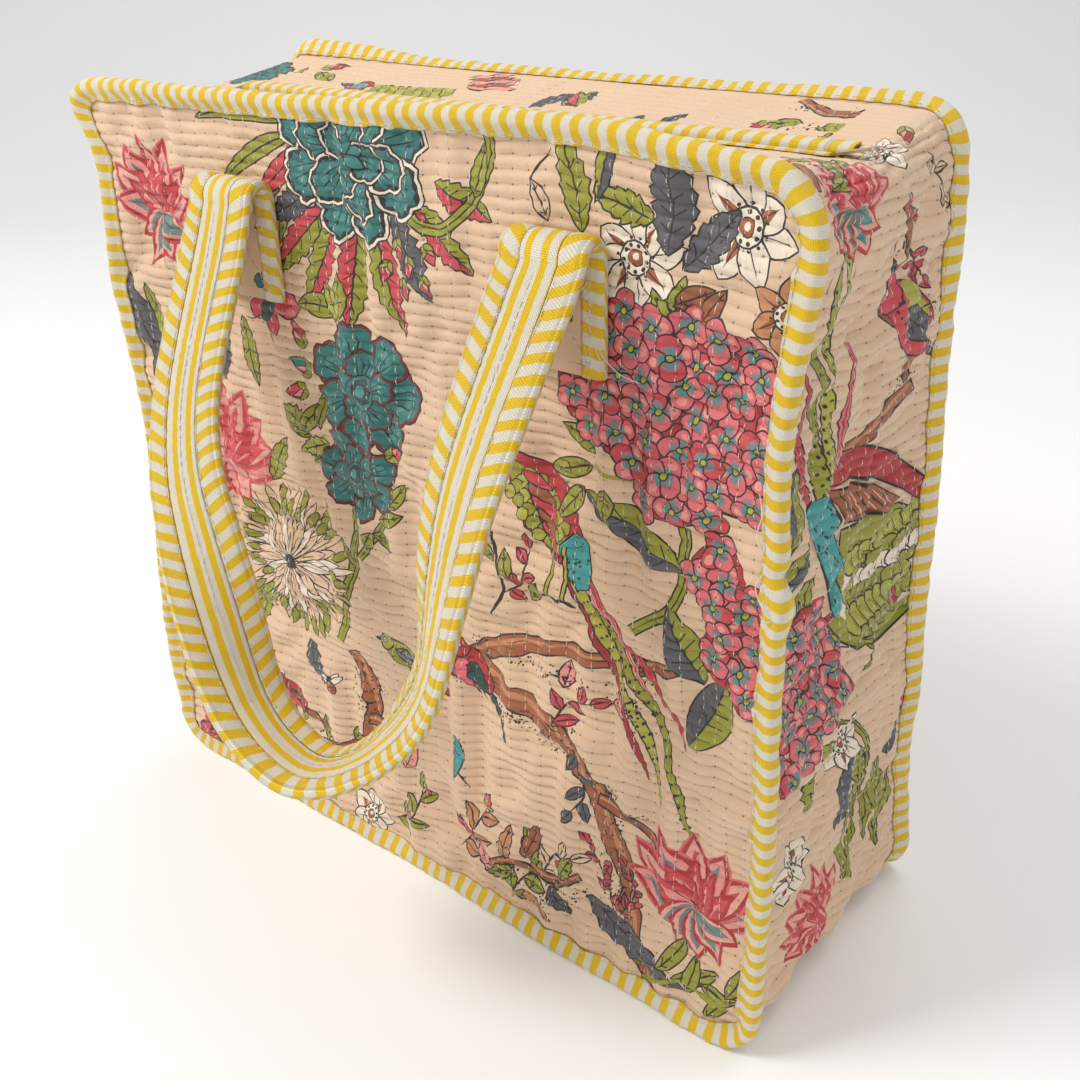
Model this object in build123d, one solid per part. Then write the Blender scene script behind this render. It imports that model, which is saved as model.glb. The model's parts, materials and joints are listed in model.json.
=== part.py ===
from build123d import *
import math
import os

os.makedirs("parts", exist_ok=True)

# Quilted cotton knitting bag: a box tote with a zipped top and two strap handles.
# Units are millimetres. +Z is up, +X is the bag's right seen from the front, the front panel faces -Y.
# The origin is on the floor, under the centre of the base.

# ---- body of the bag ---------------------------------------------------------------------
BODY_W = 394.0          # outside width of the front panel
BODY_H = 388.0          # outside height of the front panel
PANEL_Y = 72.0          # outer face of the front and back panels, from the mid plane
BASE_Z = 4.0            # underside of the gusset; the seam bindings stand below it and carry the bag
CORNER_R = 16.0         # corner radius of the panels
CLOTH_T = 0.5           # printed outer cotton
WADDING_T = 2.9         # wadding between the two cottons
LINING_T = 0.5          # lining cotton
LAYER_GAP = 0.05        # air between the layers of the quilt
QUILT_T = CLOTH_T + WADDING_T + LINING_T + 2 * LAYER_GAP

# ---- seam bindings -----------------------------------------------------------------------
BIND_PROUD = 4.0        # how far a seam binding stands proud of the panel and of the gusset
BIND_FLANGE = 6.0       # how far it laps on to the panel, inside the panel's outer edge
BIND_LAP_Y = 8.0        # how far it laps on to the gusset
BIND_FILLET = 3.4       # rounding of its outer edges
CLEAR = 0.1             # clearance between sewn neighbours

# ---- zipped top --------------------------------------------------------------------------
VALLEY = 10.0           # the top dips by this much from the seams to the zip
CREASE_Y = 63.0         # the top halves crease here, just inside the seam bindings
ZIP_SLOT_X = 172.0      # the zip slot ends here, on each side of the centre
FLAP_X = 128.0          # the top halves open freely between these ends
FLAP_EDGE_Y = 9.0       # raw edge of each top half, from the mid plane
ZB_IN = 5.5             # zip binding, inner edge
ZB_OUT = 14.0           # zip binding, outer edge
ZB_T = 1.25             # thickness of one leg of the zip binding
TAPE_IN, TAPE_OUT, TAPE_T = 0.7, 15.0, 0.6
COIL_IN, COIL_OUT, COIL_H = 0.7, 2.4, 1.6
SLIDER_L, SLIDER_W = 11.0, 8.0
SLIDER_X = 161.0        # slider's place with the zip closed
ZIP_TRAVEL = 322.0
PULL_LEAN = 12.5        # degrees the pull rests above level, lying on the end of the slot

# ---- strap handles -----------------------------------------------------------------------
STRAP_W = 40.0
STRAP_T = 5.9
CORE_W, CORE_T = 34.0, 4.0
FACING_W = 17.0
EDGE_BIND_IN, EDGE_BIND_OUT = 17.2, 20.0
HANDLE_X = 90.0         # each strap end, from the handle's own centre line
HANDLE_DX = 7.0         # the handle sits this far right of the middle of the panel
PATCH_Z0, PATCH_Z1 = 306.0, 352.0
PIVOT_Y, PIVOT_Z = 83.4, 354.0      # the strap folds here
# centre line of the hanging loop, left to right: x, y, z, and the twist in degrees (0: inner face out, 90: inner face up into the loop)
LOOP = [
    (-83.0, -87.5, 351.5, 0.0), (-85.8, -92.9, 331.4, 0.5), (-87.2, -101.0, 311.2, 2.5), (-86.7, -110.4, 291.5, 5.5),
    (-84.0, -120.3, 272.3, 9.5), (-78.5, -129.5, 253.4, 15.0), (-71.0, -137.0, 234.8, 23.0), (-62.0, -142.2, 215.9, 33.5),
    (-55.0, -145.0, 195.6, 46.0), (-49.3, -146.2, 174.2, 60.0), (-42.7, -147.5, 153.2, 74.5), (-31.0, -150.0, 135.3, 86.5),
    (-13.5, -151.8, 123.2, 93.5), (7.5, -151.3, 118.8, 92.0), (25.9, -147.0, 125.5, 80.0), (41.3, -141.8, 138.4, 66.0),
    (54.3, -138.8, 154.8, 53.0), (65.9, -138.2, 172.7, 45.5), (74.8, -139.2, 191.9, 40.0), (80.4, -139.6, 212.9, 33.0),
    (83.6, -137.6, 234.4, 23.5), (85.9, -132.9, 255.7, 16.0), (87.9, -125.5, 276.4, 11.0), (90.1, -116.4, 296.3, 8.0),
    (92.5, -106.4, 315.7, 5.0), (94.9, -96.4, 334.2, 2.5), (97.0, -87.5, 351.5, 0.0),
]

ZC = BASE_Z + BODY_H / 2
ZT = BASE_Z + BODY_H


def save(name, shape):
    export_step(shape, f"parts/{name}.step")


def group(solids):
    return Compound(children=list(solids))


def block(x0, x1, y0, y1, z0, z1):
    return Pos((x0 + x1) / 2, (y0 + y1) / 2, (z0 + z1) / 2) * Box(x1 - x0, y1 - y0, z1 - z0)


def prism(w, h, r, y0, y1):
    """A rounded rectangle w by h in the panel's plane, centred on the panel, running from y0 to y1."""
    plane = Plane(origin=(0, y1, ZC), x_dir=(1, 0, 0), z_dir=(0, -1, 0))
    return extrude(plane * RectangleRounded(w, h, r), amount=y1 - y0)


def solids_of(shape):
    return list(shape.solids())


# ---- front and back panels: three quilted layers ------------------------------------------
def panel_layers():
    depth = 0.0
    out = []
    for t in (CLOTH_T, WADDING_T, LINING_T):
        out.append(prism(BODY_W, BODY_H, CORNER_R, -PANEL_Y + depth, -PANEL_Y + depth + t))
        depth += t + LAYER_GAP
    return out


for side in ("front", "back"):
    for layer, solid in zip(("cloth", "wadding", "lining"), panel_layers()):
        if side == "back":
            solid = mirror(solid, Plane.XZ)
        save(f"{side}_panel_{layer}", solid)

# ---- gusset: one band round base, sides and top, with the top dipping to the zip -----------
GUSSET_Y = PANEL_Y - QUILT_T - 0.05


def valley(inset):
    """Everything above the dished top surface, set down by inset."""
    zt = ZT - inset
    pts = [(-GUSSET_Y - 3, zt), (-GUSSET_Y, zt), (0, zt - VALLEY), (GUSSET_Y, zt), (GUSSET_Y + 3, zt), (GUSSET_Y + 3, zt + 30), (-GUSSET_Y - 3, zt + 30)]
    face = make_face(Plane.YZ * Polyline(*pts, close=True))
    return extrude(face, amount=260, both=True)


def tube(inset, extra):
    """The space inside the band's surface at depth inset."""
    return prism(BODY_W - 2 * inset, BODY_H - 2 * inset, CORNER_R - inset, -GUSSET_Y - extra, GUSSET_Y + extra) - valley(inset)


def band(o1, o2):
    return tube(o1, 0) - tube(o2, 1)


def roof(o1, o2):
    """Only the dished top between depths o1 and o2, as two simple tilted strips (front and back)."""
    pts = [(-GUSSET_Y, ZT - o1), (0, ZT - VALLEY - o1), (0, ZT - VALLEY - o2), (-GUSSET_Y, ZT - o2)]
    face = make_face(Plane.YZ * Polyline(*pts, close=True))
    return extrude(face, amount=260, both=True)


OPEN = block(-FLAP_X, FLAP_X, -CREASE_Y, CREASE_Y, ZT - 30, ZT + 10)
SLOT = block(-ZIP_SLOT_X, ZIP_SLOT_X, -FLAP_EDGE_Y, FLAP_EDGE_Y, ZT - 30, ZT + 10)
depth = 0.0
LAYERS = []
for layer, t in zip(("cloth", "wadding", "lining"), (CLOTH_T, WADDING_T, LINING_T)):
    LAYERS.append((layer, depth, depth + t))
    save(f"gusset_{layer}", band(depth, depth + t) - OPEN - SLOT)
    depth += t + LAYER_GAP

# ---- seam bindings: tape folded over the outer seam edges ----------------------------------


def seam_binding():
    outer = prism(BODY_W + 2 * BIND_PROUD, BODY_H + 2 * BIND_PROUD, CORNER_R + BIND_PROUD, -PANEL_Y - BIND_PROUD, -PANEL_Y + BIND_LAP_Y)
    rims = [e for e in outer.edges() if e.bounding_box().size.Y < 1e-6]
    outer = fillet(rims, BIND_FILLET)
    inside = prism(BODY_W + 2 * CLEAR, BODY_H + 2 * CLEAR, CORNER_R + CLEAR, -PANEL_Y - CLEAR, -PANEL_Y + BIND_LAP_Y + 5)
    hole = prism(BODY_W - 2 * BIND_FLANGE, BODY_H - 2 * BIND_FLANGE, CORNER_R - BIND_FLANGE, -PANEL_Y - BIND_PROUD - 5, -PANEL_Y + 5)
    return outer - inside - hole


front_binding = seam_binding()
save("front_seam_binding", front_binding)
save("back_seam_binding", mirror(front_binding, Plane.XZ))

# ---- zipped top ----------------------------------------------------------------------------
ZIP_Z = ZT - VALLEY - QUILT_T - ZB_T - 0.15      # top face of the zip tape


def zip_binding(x0, x1):
    """Tape folded round the front top half's raw edge, from x0 to x1."""
    outer = roof(-ZB_T, QUILT_T + ZB_T) & block(x0, x1, -ZB_OUT, -ZB_IN, ZT - 40, ZT + 20)
    return outer - (roof(-0.06, QUILT_T + 0.06) & block(x0 - 1, x1 + 1, -ZB_OUT - 5, -FLAP_EDGE_Y + CLEAR, ZT - 40, ZT + 20))


def zip_tape(x0, x1):
    return block(x0, x1, -TAPE_OUT, -TAPE_IN, ZIP_Z - TAPE_T, ZIP_Z)


def zip_coil(x0, x1):
    return block(x0, x1, -COIL_OUT, -COIL_IN, ZIP_Z + 0.05, ZIP_Z + 0.05 + COIL_H)


G = 0.3                                          # gap between the fixed ends and the opening halves
for side in ("front", "back"):
    def put(name, solid, side=side):
        save(name, mirror(solid, Plane.XZ) if side == "back" else solid)
    for layer, o1, o2 in LAYERS:
        put(f"{side}_top_{layer}", roof(o1, o2) & block(-FLAP_X + G, FLAP_X - G, -CREASE_Y + G, -FLAP_EDGE_Y, ZT - 40, ZT + 10))
    put(f"{side}_zip_binding", zip_binding(-FLAP_X + G, FLAP_X - G))
    put(f"{side}_zip_tape", zip_tape(-FLAP_X + G, FLAP_X - G))
    put(f"{side}_zip_coil", zip_coil(-FLAP_X + G, FLAP_X - G))


def zip_ends(make, x_end):
    one = make(FLAP_X, x_end)
    quarter = [one, mirror(one, Plane.YZ)]
    return group(quarter + [mirror(s, Plane.XZ) for s in quarter])


save("zip_end_bindings", zip_ends(zip_binding, ZIP_SLOT_X - 0.2))
save("zip_end_tapes", zip_ends(zip_tape, ZIP_SLOT_X + 8))
save("zip_end_coils", zip_ends(zip_coil, ZIP_SLOT_X - 3))
stop = block(ZIP_SLOT_X - 2.6, ZIP_SLOT_X - 0.6, -2.6, 2.6, ZIP_Z + 0.1, ZIP_Z + 2.4)
save("zip_stops", group([stop, mirror(stop, Plane.YZ)]))

# slider: two plates round the coil, joined by a thin post, with a bridge for the pull
COIL_TOP = ZIP_Z + 0.05 + COIL_H
TOP0, TOP1 = COIL_TOP + 0.25, COIL_TOP + 1.35
BOT0, BOT1 = ZIP_Z - TAPE_T - 1.5, ZIP_Z - TAPE_T - 0.25
sx0, sx1 = SLIDER_X - SLIDER_L / 2, SLIDER_X + SLIDER_L / 2
slider = block(sx0, sx1, -SLIDER_W / 2, SLIDER_W / 2, TOP0, TOP1)
slider += block(sx0, sx1, -SLIDER_W / 2, SLIDER_W / 2, BOT0, BOT1)
slider = fillet(slider.edges().filter_by(Axis.Z), 1.6)
slider += block(SLIDER_X - 1.5, sx1 - 1.0, -0.35, 0.35, BOT1 - 0.1, TOP0 + 0.1)
for s in (-1, 1):
    slider += block(sx0 + 1.8, sx1 - 1.8, min(s * 3.1, s * 3.9), max(s * 3.1, s * 3.9), ZIP_Z + 0.25, TOP0 + 0.1)
PIN_Z = TOP1 + 1.25
BRIDGE_T = 0.9
for x in (SLIDER_X - 3.4, SLIDER_X + 2.5):
    slider += block(x, x + BRIDGE_T, -1.0, 1.0, TOP1 - 0.1, PIN_Z + 1.9)
slider += block(SLIDER_X - 3.4, SLIDER_X + 3.4, -1.0, 1.0, PIN_Z + 1.0, PIN_Z + 1.9)
save("zip_slider", slider)

# pull: an eye that passes under the bridge, and a flat tab
eye = Pos(SLIDER_X, 0, PIN_Z) * Rot(90, 0, 0) * Cylinder(0.7, 6.4)
pull = eye
for s in (-1, 1):
    pull += block(SLIDER_X - 0.7, SLIDER_X + 8.2, min(s * 2.2, s * 3.2), max(s * 2.2, s * 3.2), PIN_Z - 0.5, PIN_Z + 0.5)
tab = block(SLIDER_X + 7.2, SLIDER_X + 24.0, -3.2, 3.2, PIN_Z - 0.5, PIN_Z + 0.5)
tab = fillet(tab.edges().filter_by(Axis.Z).group_by(Axis.X)[-1], 2.4)
pull += tab
pull = Pos(SLIDER_X, 0, PIN_Z) * Rot(0, -PULL_LEAN, 0) * Pos(-SLIDER_X, 0, -PIN_Z) * pull
save("zip_pull", pull)

# ---- strap handles -------------------------------------------------------------------------
# a section is drawn in (across the strap, towards the strap's inner face)
h = STRAP_T / 2
SEC_CORE = [(-CORE_W / 2, -CORE_T / 2), (CORE_W / 2, -CORE_T / 2), (CORE_W / 2, CORE_T / 2), (-CORE_W / 2, CORE_T / 2)]
SEC_FACING = [(-FACING_W / 2, CORE_T / 2 + CLEAR), (FACING_W / 2, CORE_T / 2 + CLEAR), (FACING_W / 2, h), (-FACING_W / 2, h)]
u0, u1, u2, v = FACING_W / 2 + 0.2, EDGE_BIND_IN, EDGE_BIND_OUT, CORE_T / 2 + CLEAR
SEC_EDGE = [(u0, v), (u1, v), (u1, -v), (u0 + 1.5, -v), (u0 + 1.5, -h), (u2 - 1.2, -h), (u2, -h + 1.2), (u2, h - 1.2), (u2 - 1.2, h), (u0, h)]
SEC_EDGE_L = [(-a, b) for a, b in reversed(SEC_EDGE)]


def swept(section, frames):
    wires = []
    for c, w, n in frames:
        wires.append(Wire.make_polygon([c + w * a + n * b for a, b in section], close=True))
    return Solid.make_loft(wires, True)


def loop_frames():
    """Centre, direction across the strap and direction of its inner face, at each station of the hanging loop."""
    centres = [Vector(x, y, z) for x, y, z, _ in LOOP]
    frames = []
    for i, c in enumerate(centres):
        a = centres[max(0, i - 1)]
        b = centres[min(len(LOOP) - 1, i + 1)]
        tangent = (b - a).normalized()
        out = Vector(0, -1, 0)
        out = (out - tangent * out.dot(tangent)).normalized()
        inward = out.cross(tangent)                   # points into the loop
        k = math.radians(LOOP[i][3])
        n = (out * math.cos(k) + inward * math.sin(k)).normalized()
        frames.append((c, n.cross(tangent).normalized(), n))
    return frames


LOOP_FRAMES = loop_frames()


def end_frames(x):
    yc = -(PANEL_Y + CLEAR + STRAP_T / 2)
    return [(Vector(x, yc, z), Vector(1, 0, 0), Vector(0, 1, 0)) for z in (PATCH_Z0, PATCH_Z1)]


def stitches(x):
    """A boxed cross of thread over one strap end."""
    y0 = -(PANEL_Y + CLEAR + STRAP_T) - 0.55
    y1 = y0 + 0.45
    z0, z1, a = PATCH_Z0 + 4, PATCH_Z0 + 34, 14.5
    box = block(x - a, x + a, y0, y1, z0, z0 + 0.8) + block(x - a, x + a, y0, y1, z1 - 0.8, z1)
    box += block(x - a, x - a + 0.8, y0, y1, z0, z1) + block(x + a - 0.8, x + a, y0, y1, z0, z1)
    length = math.hypot(2 * a, z1 - z0) - 0.8
    angle = math.degrees(math.atan2(z1 - z0, 2 * a))
    for s in (-1, 1):
        box += Pos(x, (y0 + y1) / 2, (z0 + z1) / 2) * Rot(0, s * angle, 0) * Box(length, y1 - y0, 0.8)
    return box


for side in ("front", "back"):
    def put(name, solids, side=side):
        solids = [mirror(s, Plane.XZ) if side == "back" else s for s in solids]
        save(name, group(solids) if len(solids) > 1 else solids[0])
    put(f"{side}_handle_strap", [swept(SEC_CORE, LOOP_FRAMES)])
    put(f"{side}_handle_facing", [swept(SEC_FACING, LOOP_FRAMES)])
    put(f"{side}_handle_edge_bindings", [swept(SEC_EDGE, LOOP_FRAMES), swept(SEC_EDGE_L, LOOP_FRAMES)])
    ends = [end_frames(HANDLE_DX - HANDLE_X), end_frames(HANDLE_DX + HANDLE_X)]
    put(f"{side}_handle_end_straps", [swept(SEC_CORE, f) for f in ends])
    put(f"{side}_handle_end_facings", [swept(SEC_FACING, f) for f in ends])
    put(f"{side}_handle_end_bindings", [swept(s, f) for f in ends for s in (SEC_EDGE, SEC_EDGE_L)])
    put(f"{side}_handle_anchor_stitches", [stitches(HANDLE_DX - HANDLE_X), stitches(HANDLE_DX + HANDLE_X)])
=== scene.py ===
import json
import math

import bpy
import numpy as np
from mathutils import Matrix, Vector
from mathutils.geometry import delaunay_2d_cdt


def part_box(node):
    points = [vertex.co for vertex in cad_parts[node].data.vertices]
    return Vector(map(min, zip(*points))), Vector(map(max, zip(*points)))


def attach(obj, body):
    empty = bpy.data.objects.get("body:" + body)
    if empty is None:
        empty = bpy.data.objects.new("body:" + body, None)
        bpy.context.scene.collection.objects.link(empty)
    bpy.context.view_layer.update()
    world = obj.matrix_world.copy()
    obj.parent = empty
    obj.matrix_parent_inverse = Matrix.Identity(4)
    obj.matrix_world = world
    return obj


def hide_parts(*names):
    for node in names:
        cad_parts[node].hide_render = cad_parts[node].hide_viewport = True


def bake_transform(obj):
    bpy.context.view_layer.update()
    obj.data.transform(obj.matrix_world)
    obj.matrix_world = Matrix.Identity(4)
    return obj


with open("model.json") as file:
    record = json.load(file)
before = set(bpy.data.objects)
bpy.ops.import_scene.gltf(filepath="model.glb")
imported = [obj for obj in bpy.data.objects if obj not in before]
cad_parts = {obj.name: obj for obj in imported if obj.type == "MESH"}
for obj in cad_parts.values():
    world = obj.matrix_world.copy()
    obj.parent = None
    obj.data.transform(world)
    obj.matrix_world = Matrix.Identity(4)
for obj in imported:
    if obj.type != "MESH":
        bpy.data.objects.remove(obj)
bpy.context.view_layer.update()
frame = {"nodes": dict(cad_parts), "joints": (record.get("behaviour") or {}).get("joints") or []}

# Knitting bag. Lengths in this script are millimetres in the CAD's own frame; meshes are written in metres.
MM = 0.001


def cad(node):
    lo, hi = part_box(node)
    return np.array(lo) * 1000.0, np.array(hi) * 1000.0


P_LO, P_HI = cad("front_panel_cloth")
G_LO, G_HI = cad("gusset_cloth")
L_LO, L_HI = cad("front_panel_lining")
Z_LO, Z_HI = cad("front_zip_tape")
ZE_LO, ZE_HI = cad("zip_end_bindings")
T_LO, T_HI = cad("front_top_cloth")
JOINT = {j["name"]: j for j in frame["joints"]}
HW, Z0, Z1 = P_HI[0], P_LO[2], P_HI[2]          # half width, bottom and top edge of the panels
PY = -P_LO[1]                                   # outer face of the front panel
GY = G_HI[1]                                    # half depth of the gusset
QT = L_HI[1] + PY                               # thickness of the quilt
CREASE = -JOINT["front_top_open"]["pos_m"][1] * 1000.0
SLOT_X = ZE_HI[0]
ZIP_Z = Z_HI[2]
PIV = np.array(JOINT["front_handle_swing"]["pos_m"]) * 1000.0
CR = 16.0


def lin(r, g, b):
    def f(c):
        c /= 255.0
        return c / 12.92 if c <= 0.04045 else ((c + 0.055) / 1.055) ** 2.4
    return (f(r), f(g), f(b), 1.0)


# ------------------------------------------------------------------ smooth noise
def hash2(ix, iy, seed):
    h = (ix.astype(np.int64) * 374761393 + iy.astype(np.int64) * 668265263 + seed * 1274126177) & 0xFFFFFFFF
    h = ((h ^ (h >> 13)) * 1274126177) & 0xFFFFFFFF
    h = h ^ (h >> 16)
    return (h & 0xFFFF) / 65535.0 * 2 - 1


def noise(x, y, seed=0):
    x = np.asarray(x, float); y = np.asarray(y, float)
    x, y = np.broadcast_arrays(x, y)
    ix, iy = np.floor(x), np.floor(y)
    fx, fy = x - ix, y - iy
    fx = fx * fx * fx * (fx * (fx * 6 - 15) + 10); fy = fy * fy * fy * (fy * (fy * 6 - 15) + 10)
    a, b = hash2(ix, iy, seed), hash2(ix + 1, iy, seed)
    c, d = hash2(ix, iy + 1, seed), hash2(ix + 1, iy + 1, seed)
    return (a * (1 - fx) + b * fx) * (1 - fy) + (c * (1 - fx) + d * fx) * fy


def fbm(x, y, seed=0, n=3):
    out, a = 0.0, 1.0
    for k in range(n):
        out = out + a * noise(np.asarray(x) * 2 ** k, np.asarray(y) * 2 ** k, seed + k * 17)
        a *= 0.5
    return out


def smoothstep(a, b, x):
    t = np.clip((np.asarray(x, float) - a) / (b - a), 0, 1)
    return t * t * (3 - 2 * t)


# ------------------------------------------------------------------ mesh helpers
def new_mesh(name, V, F, smooth=True, check=True):
    """V in mm; F triangles or quads (arrays) or a list of them."""
    me = bpy.data.meshes.new(name)
    V = np.asarray(V, float) * MM
    groups = [np.asarray(f, np.int64) for f in (F if isinstance(F, (list, tuple)) else [F]) if len(f)]
    nl = sum(g.size for g in groups); nf = sum(len(g) for g in groups)
    me.vertices.add(len(V)); me.vertices.foreach_set("co", V.astype(np.float32).ravel())
    me.loops.add(nl); me.loops.foreach_set("vertex_index", np.concatenate([g.ravel() for g in groups]).astype(np.int32))
    me.polygons.add(nf)
    starts, at = [], 0
    for g in groups:
        starts.append(at + np.arange(len(g)) * g.shape[1]); at += g.size
    me.polygons.foreach_set("loop_start", np.concatenate(starts).astype(np.int32))
    me.update(calc_edges=True)
    if check:
        me.validate()
    if smooth:
        me.polygons.foreach_set("use_smooth", np.ones(len(me.polygons), bool))
    ob = bpy.data.objects.new(name, me)
    bpy.context.scene.collection.objects.link(ob)
    return ob


def loop_verts(me):
    li = np.zeros(len(me.loops), np.int32)
    me.loops.foreach_get("vertex_index", li)
    return li


def set_uv(ob, name, uv):
    """uv per vertex."""
    me = ob.data
    layer = me.uv_layers.get(name) or me.uv_layers.new(name=name)
    layer.data.foreach_set("uv", np.asarray(uv, np.float32)[loop_verts(me)].ravel())


def set_float(ob, name, val):
    at = ob.data.attributes.get(name) or ob.data.attributes.new(name, "FLOAT", "POINT")
    at.data.foreach_set("value", np.asarray(val, np.float32))


def set_face_colors(ob, name, col):
    """col per triangle (n,4) for a pure triangle mesh."""
    me = ob.data
    at = me.color_attributes.new(name=name, type="FLOAT_COLOR", domain="CORNER")
    c = np.repeat(np.asarray(col, np.float32), 3, axis=0)
    at.data.foreach_set("color", c.ravel())


def join_parts(parts):
    """[(V, F, per-vertex dict)] to one (V, quads/tris list, dict)."""
    V, out, at = [], {}, 0
    attrs = {}
    for v, fs, a in parts:
        V.append(v)
        for f in (fs if isinstance(fs, list) else [fs]):
            f = np.asarray(f, np.int64)
            if len(f):
                out.setdefault(f.shape[1], []).append(f + at)
        for k, val in a.items():
            attrs.setdefault(k, []).append(np.asarray(val, float))
        at += len(v)
    return np.concatenate(V), [np.concatenate(f) for f in out.values()], {k: np.concatenate(v) for k, v in attrs.items()}


def grid_faces(nu, nv, close_u=False, close_v=False):
    """quads over an nu by nv grid of vertices stored u-major (index = i*nv + j)."""
    i = np.arange(nu if close_u else nu - 1)[:, None]
    j = np.arange(nv if close_v else nv - 1)[None, :]
    i2, j2 = (i + 1) % nu, (j + 1) % nv
    q = np.stack([i * nv + j + 0 * j2, i2 * nv + j, i2 * nv + j2, i * nv + j2 + 0 * i], -1)
    return q.reshape(-1, 4)


def spline(pts, step=None, n=None, closed=False):
    """Catmull-Rom through pts, resampled evenly. Works in any dimension."""
    p = np.asarray(pts, float)
    if closed:
        q = np.concatenate([p[-1:], p, p[:2]])
    else:
        q = np.concatenate([2 * p[:1] - p[1:2], p, 2 * p[-1:] - p[-2:-1]])
    out = []
    for k in range(1, len(q) - 2):
        t = np.linspace(0, 1, 12, endpoint=False)[:, None]
        a, b, c, d = q[k - 1], q[k], q[k + 1], q[k + 2]
        out.append(0.5 * ((2 * b) + (c - a) * t + (2 * a - 5 * b + 4 * c - d) * t ** 2 + (3 * b - a - 3 * c + d) * t ** 3))
    out = np.concatenate(out + [p[:1] if closed else p[-1:]])
    s = np.concatenate([[0], np.cumsum(np.linalg.norm(np.diff(out, axis=0), axis=1))])
    if n is None:
        n = max(4 if closed else 2, int(round(s[-1] / step)) + (0 if closed else 1))
    u = np.linspace(0, s[-1], n + 1)[:-1] if closed else np.linspace(0, s[-1], n)
    return np.stack([np.interp(u, s, out[:, k]) for k in range(out.shape[1])], 1)
# ------------------------------------------------------------------ printed cloth: flat motifs in mm
C = {
    "ground": lin(225, 193, 160), "black": lin(20, 18, 20), "teal": lin(30, 116, 114), "teal2": lin(62, 140, 134), "tealdk": lin(14, 62, 70),
    "pink": lin(222, 104, 112), "pinklt": lin(236, 150, 142), "red": lin(178, 34, 42), "reddk": lin(120, 20, 32), "rose": lin(205, 62, 74),
    "olive": lin(152, 152, 36), "olivelt": lin(176, 174, 60), "olivedk": lin(104, 110, 40), "grey": lin(84, 84, 92), "greylt": lin(140, 138, 142),
    "brown": lin(158, 88, 48), "brownlt": lin(196, 134, 88), "browndk": lin(92, 50, 34), "white": lin(240, 226, 206), "mauve": lin(150, 120, 124),
    "aqua": lin(58, 160, 160), "blush": lin(232, 168, 150), "tealgrey": lin(104, 132, 132),
}
PALETTE = list(C)
CIDX = {k: i for i, k in enumerate(PALETTE)}
CARR = np.array([C[k] for k in PALETTE])
TAU = 2 * math.pi


def area(p):
    x, y = p[:, 0], p[:, 1]
    return 0.5 * float(np.sum(x * np.roll(y, -1) - np.roll(x, -1) * y))


def ccw(p):
    p = np.asarray(p, float)
    return p if area(p) > 0 else p[::-1].copy()


def offset(p, d):
    p = ccw(p)
    e = np.roll(p, -1, 0) - p
    ln = np.linalg.norm(e, axis=1, keepdims=True); ln[ln < 1e-9] = 1e-9
    n = np.stack([e[:, 1], -e[:, 0]], 1) / ln
    m = n + np.roll(n, 1, 0)
    mm = np.linalg.norm(m, axis=1, keepdims=True); mm[mm < 0.7] = 0.7
    return p + m / mm * d * (2 / np.maximum(mm, 1.1)) ** 0.5


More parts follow.
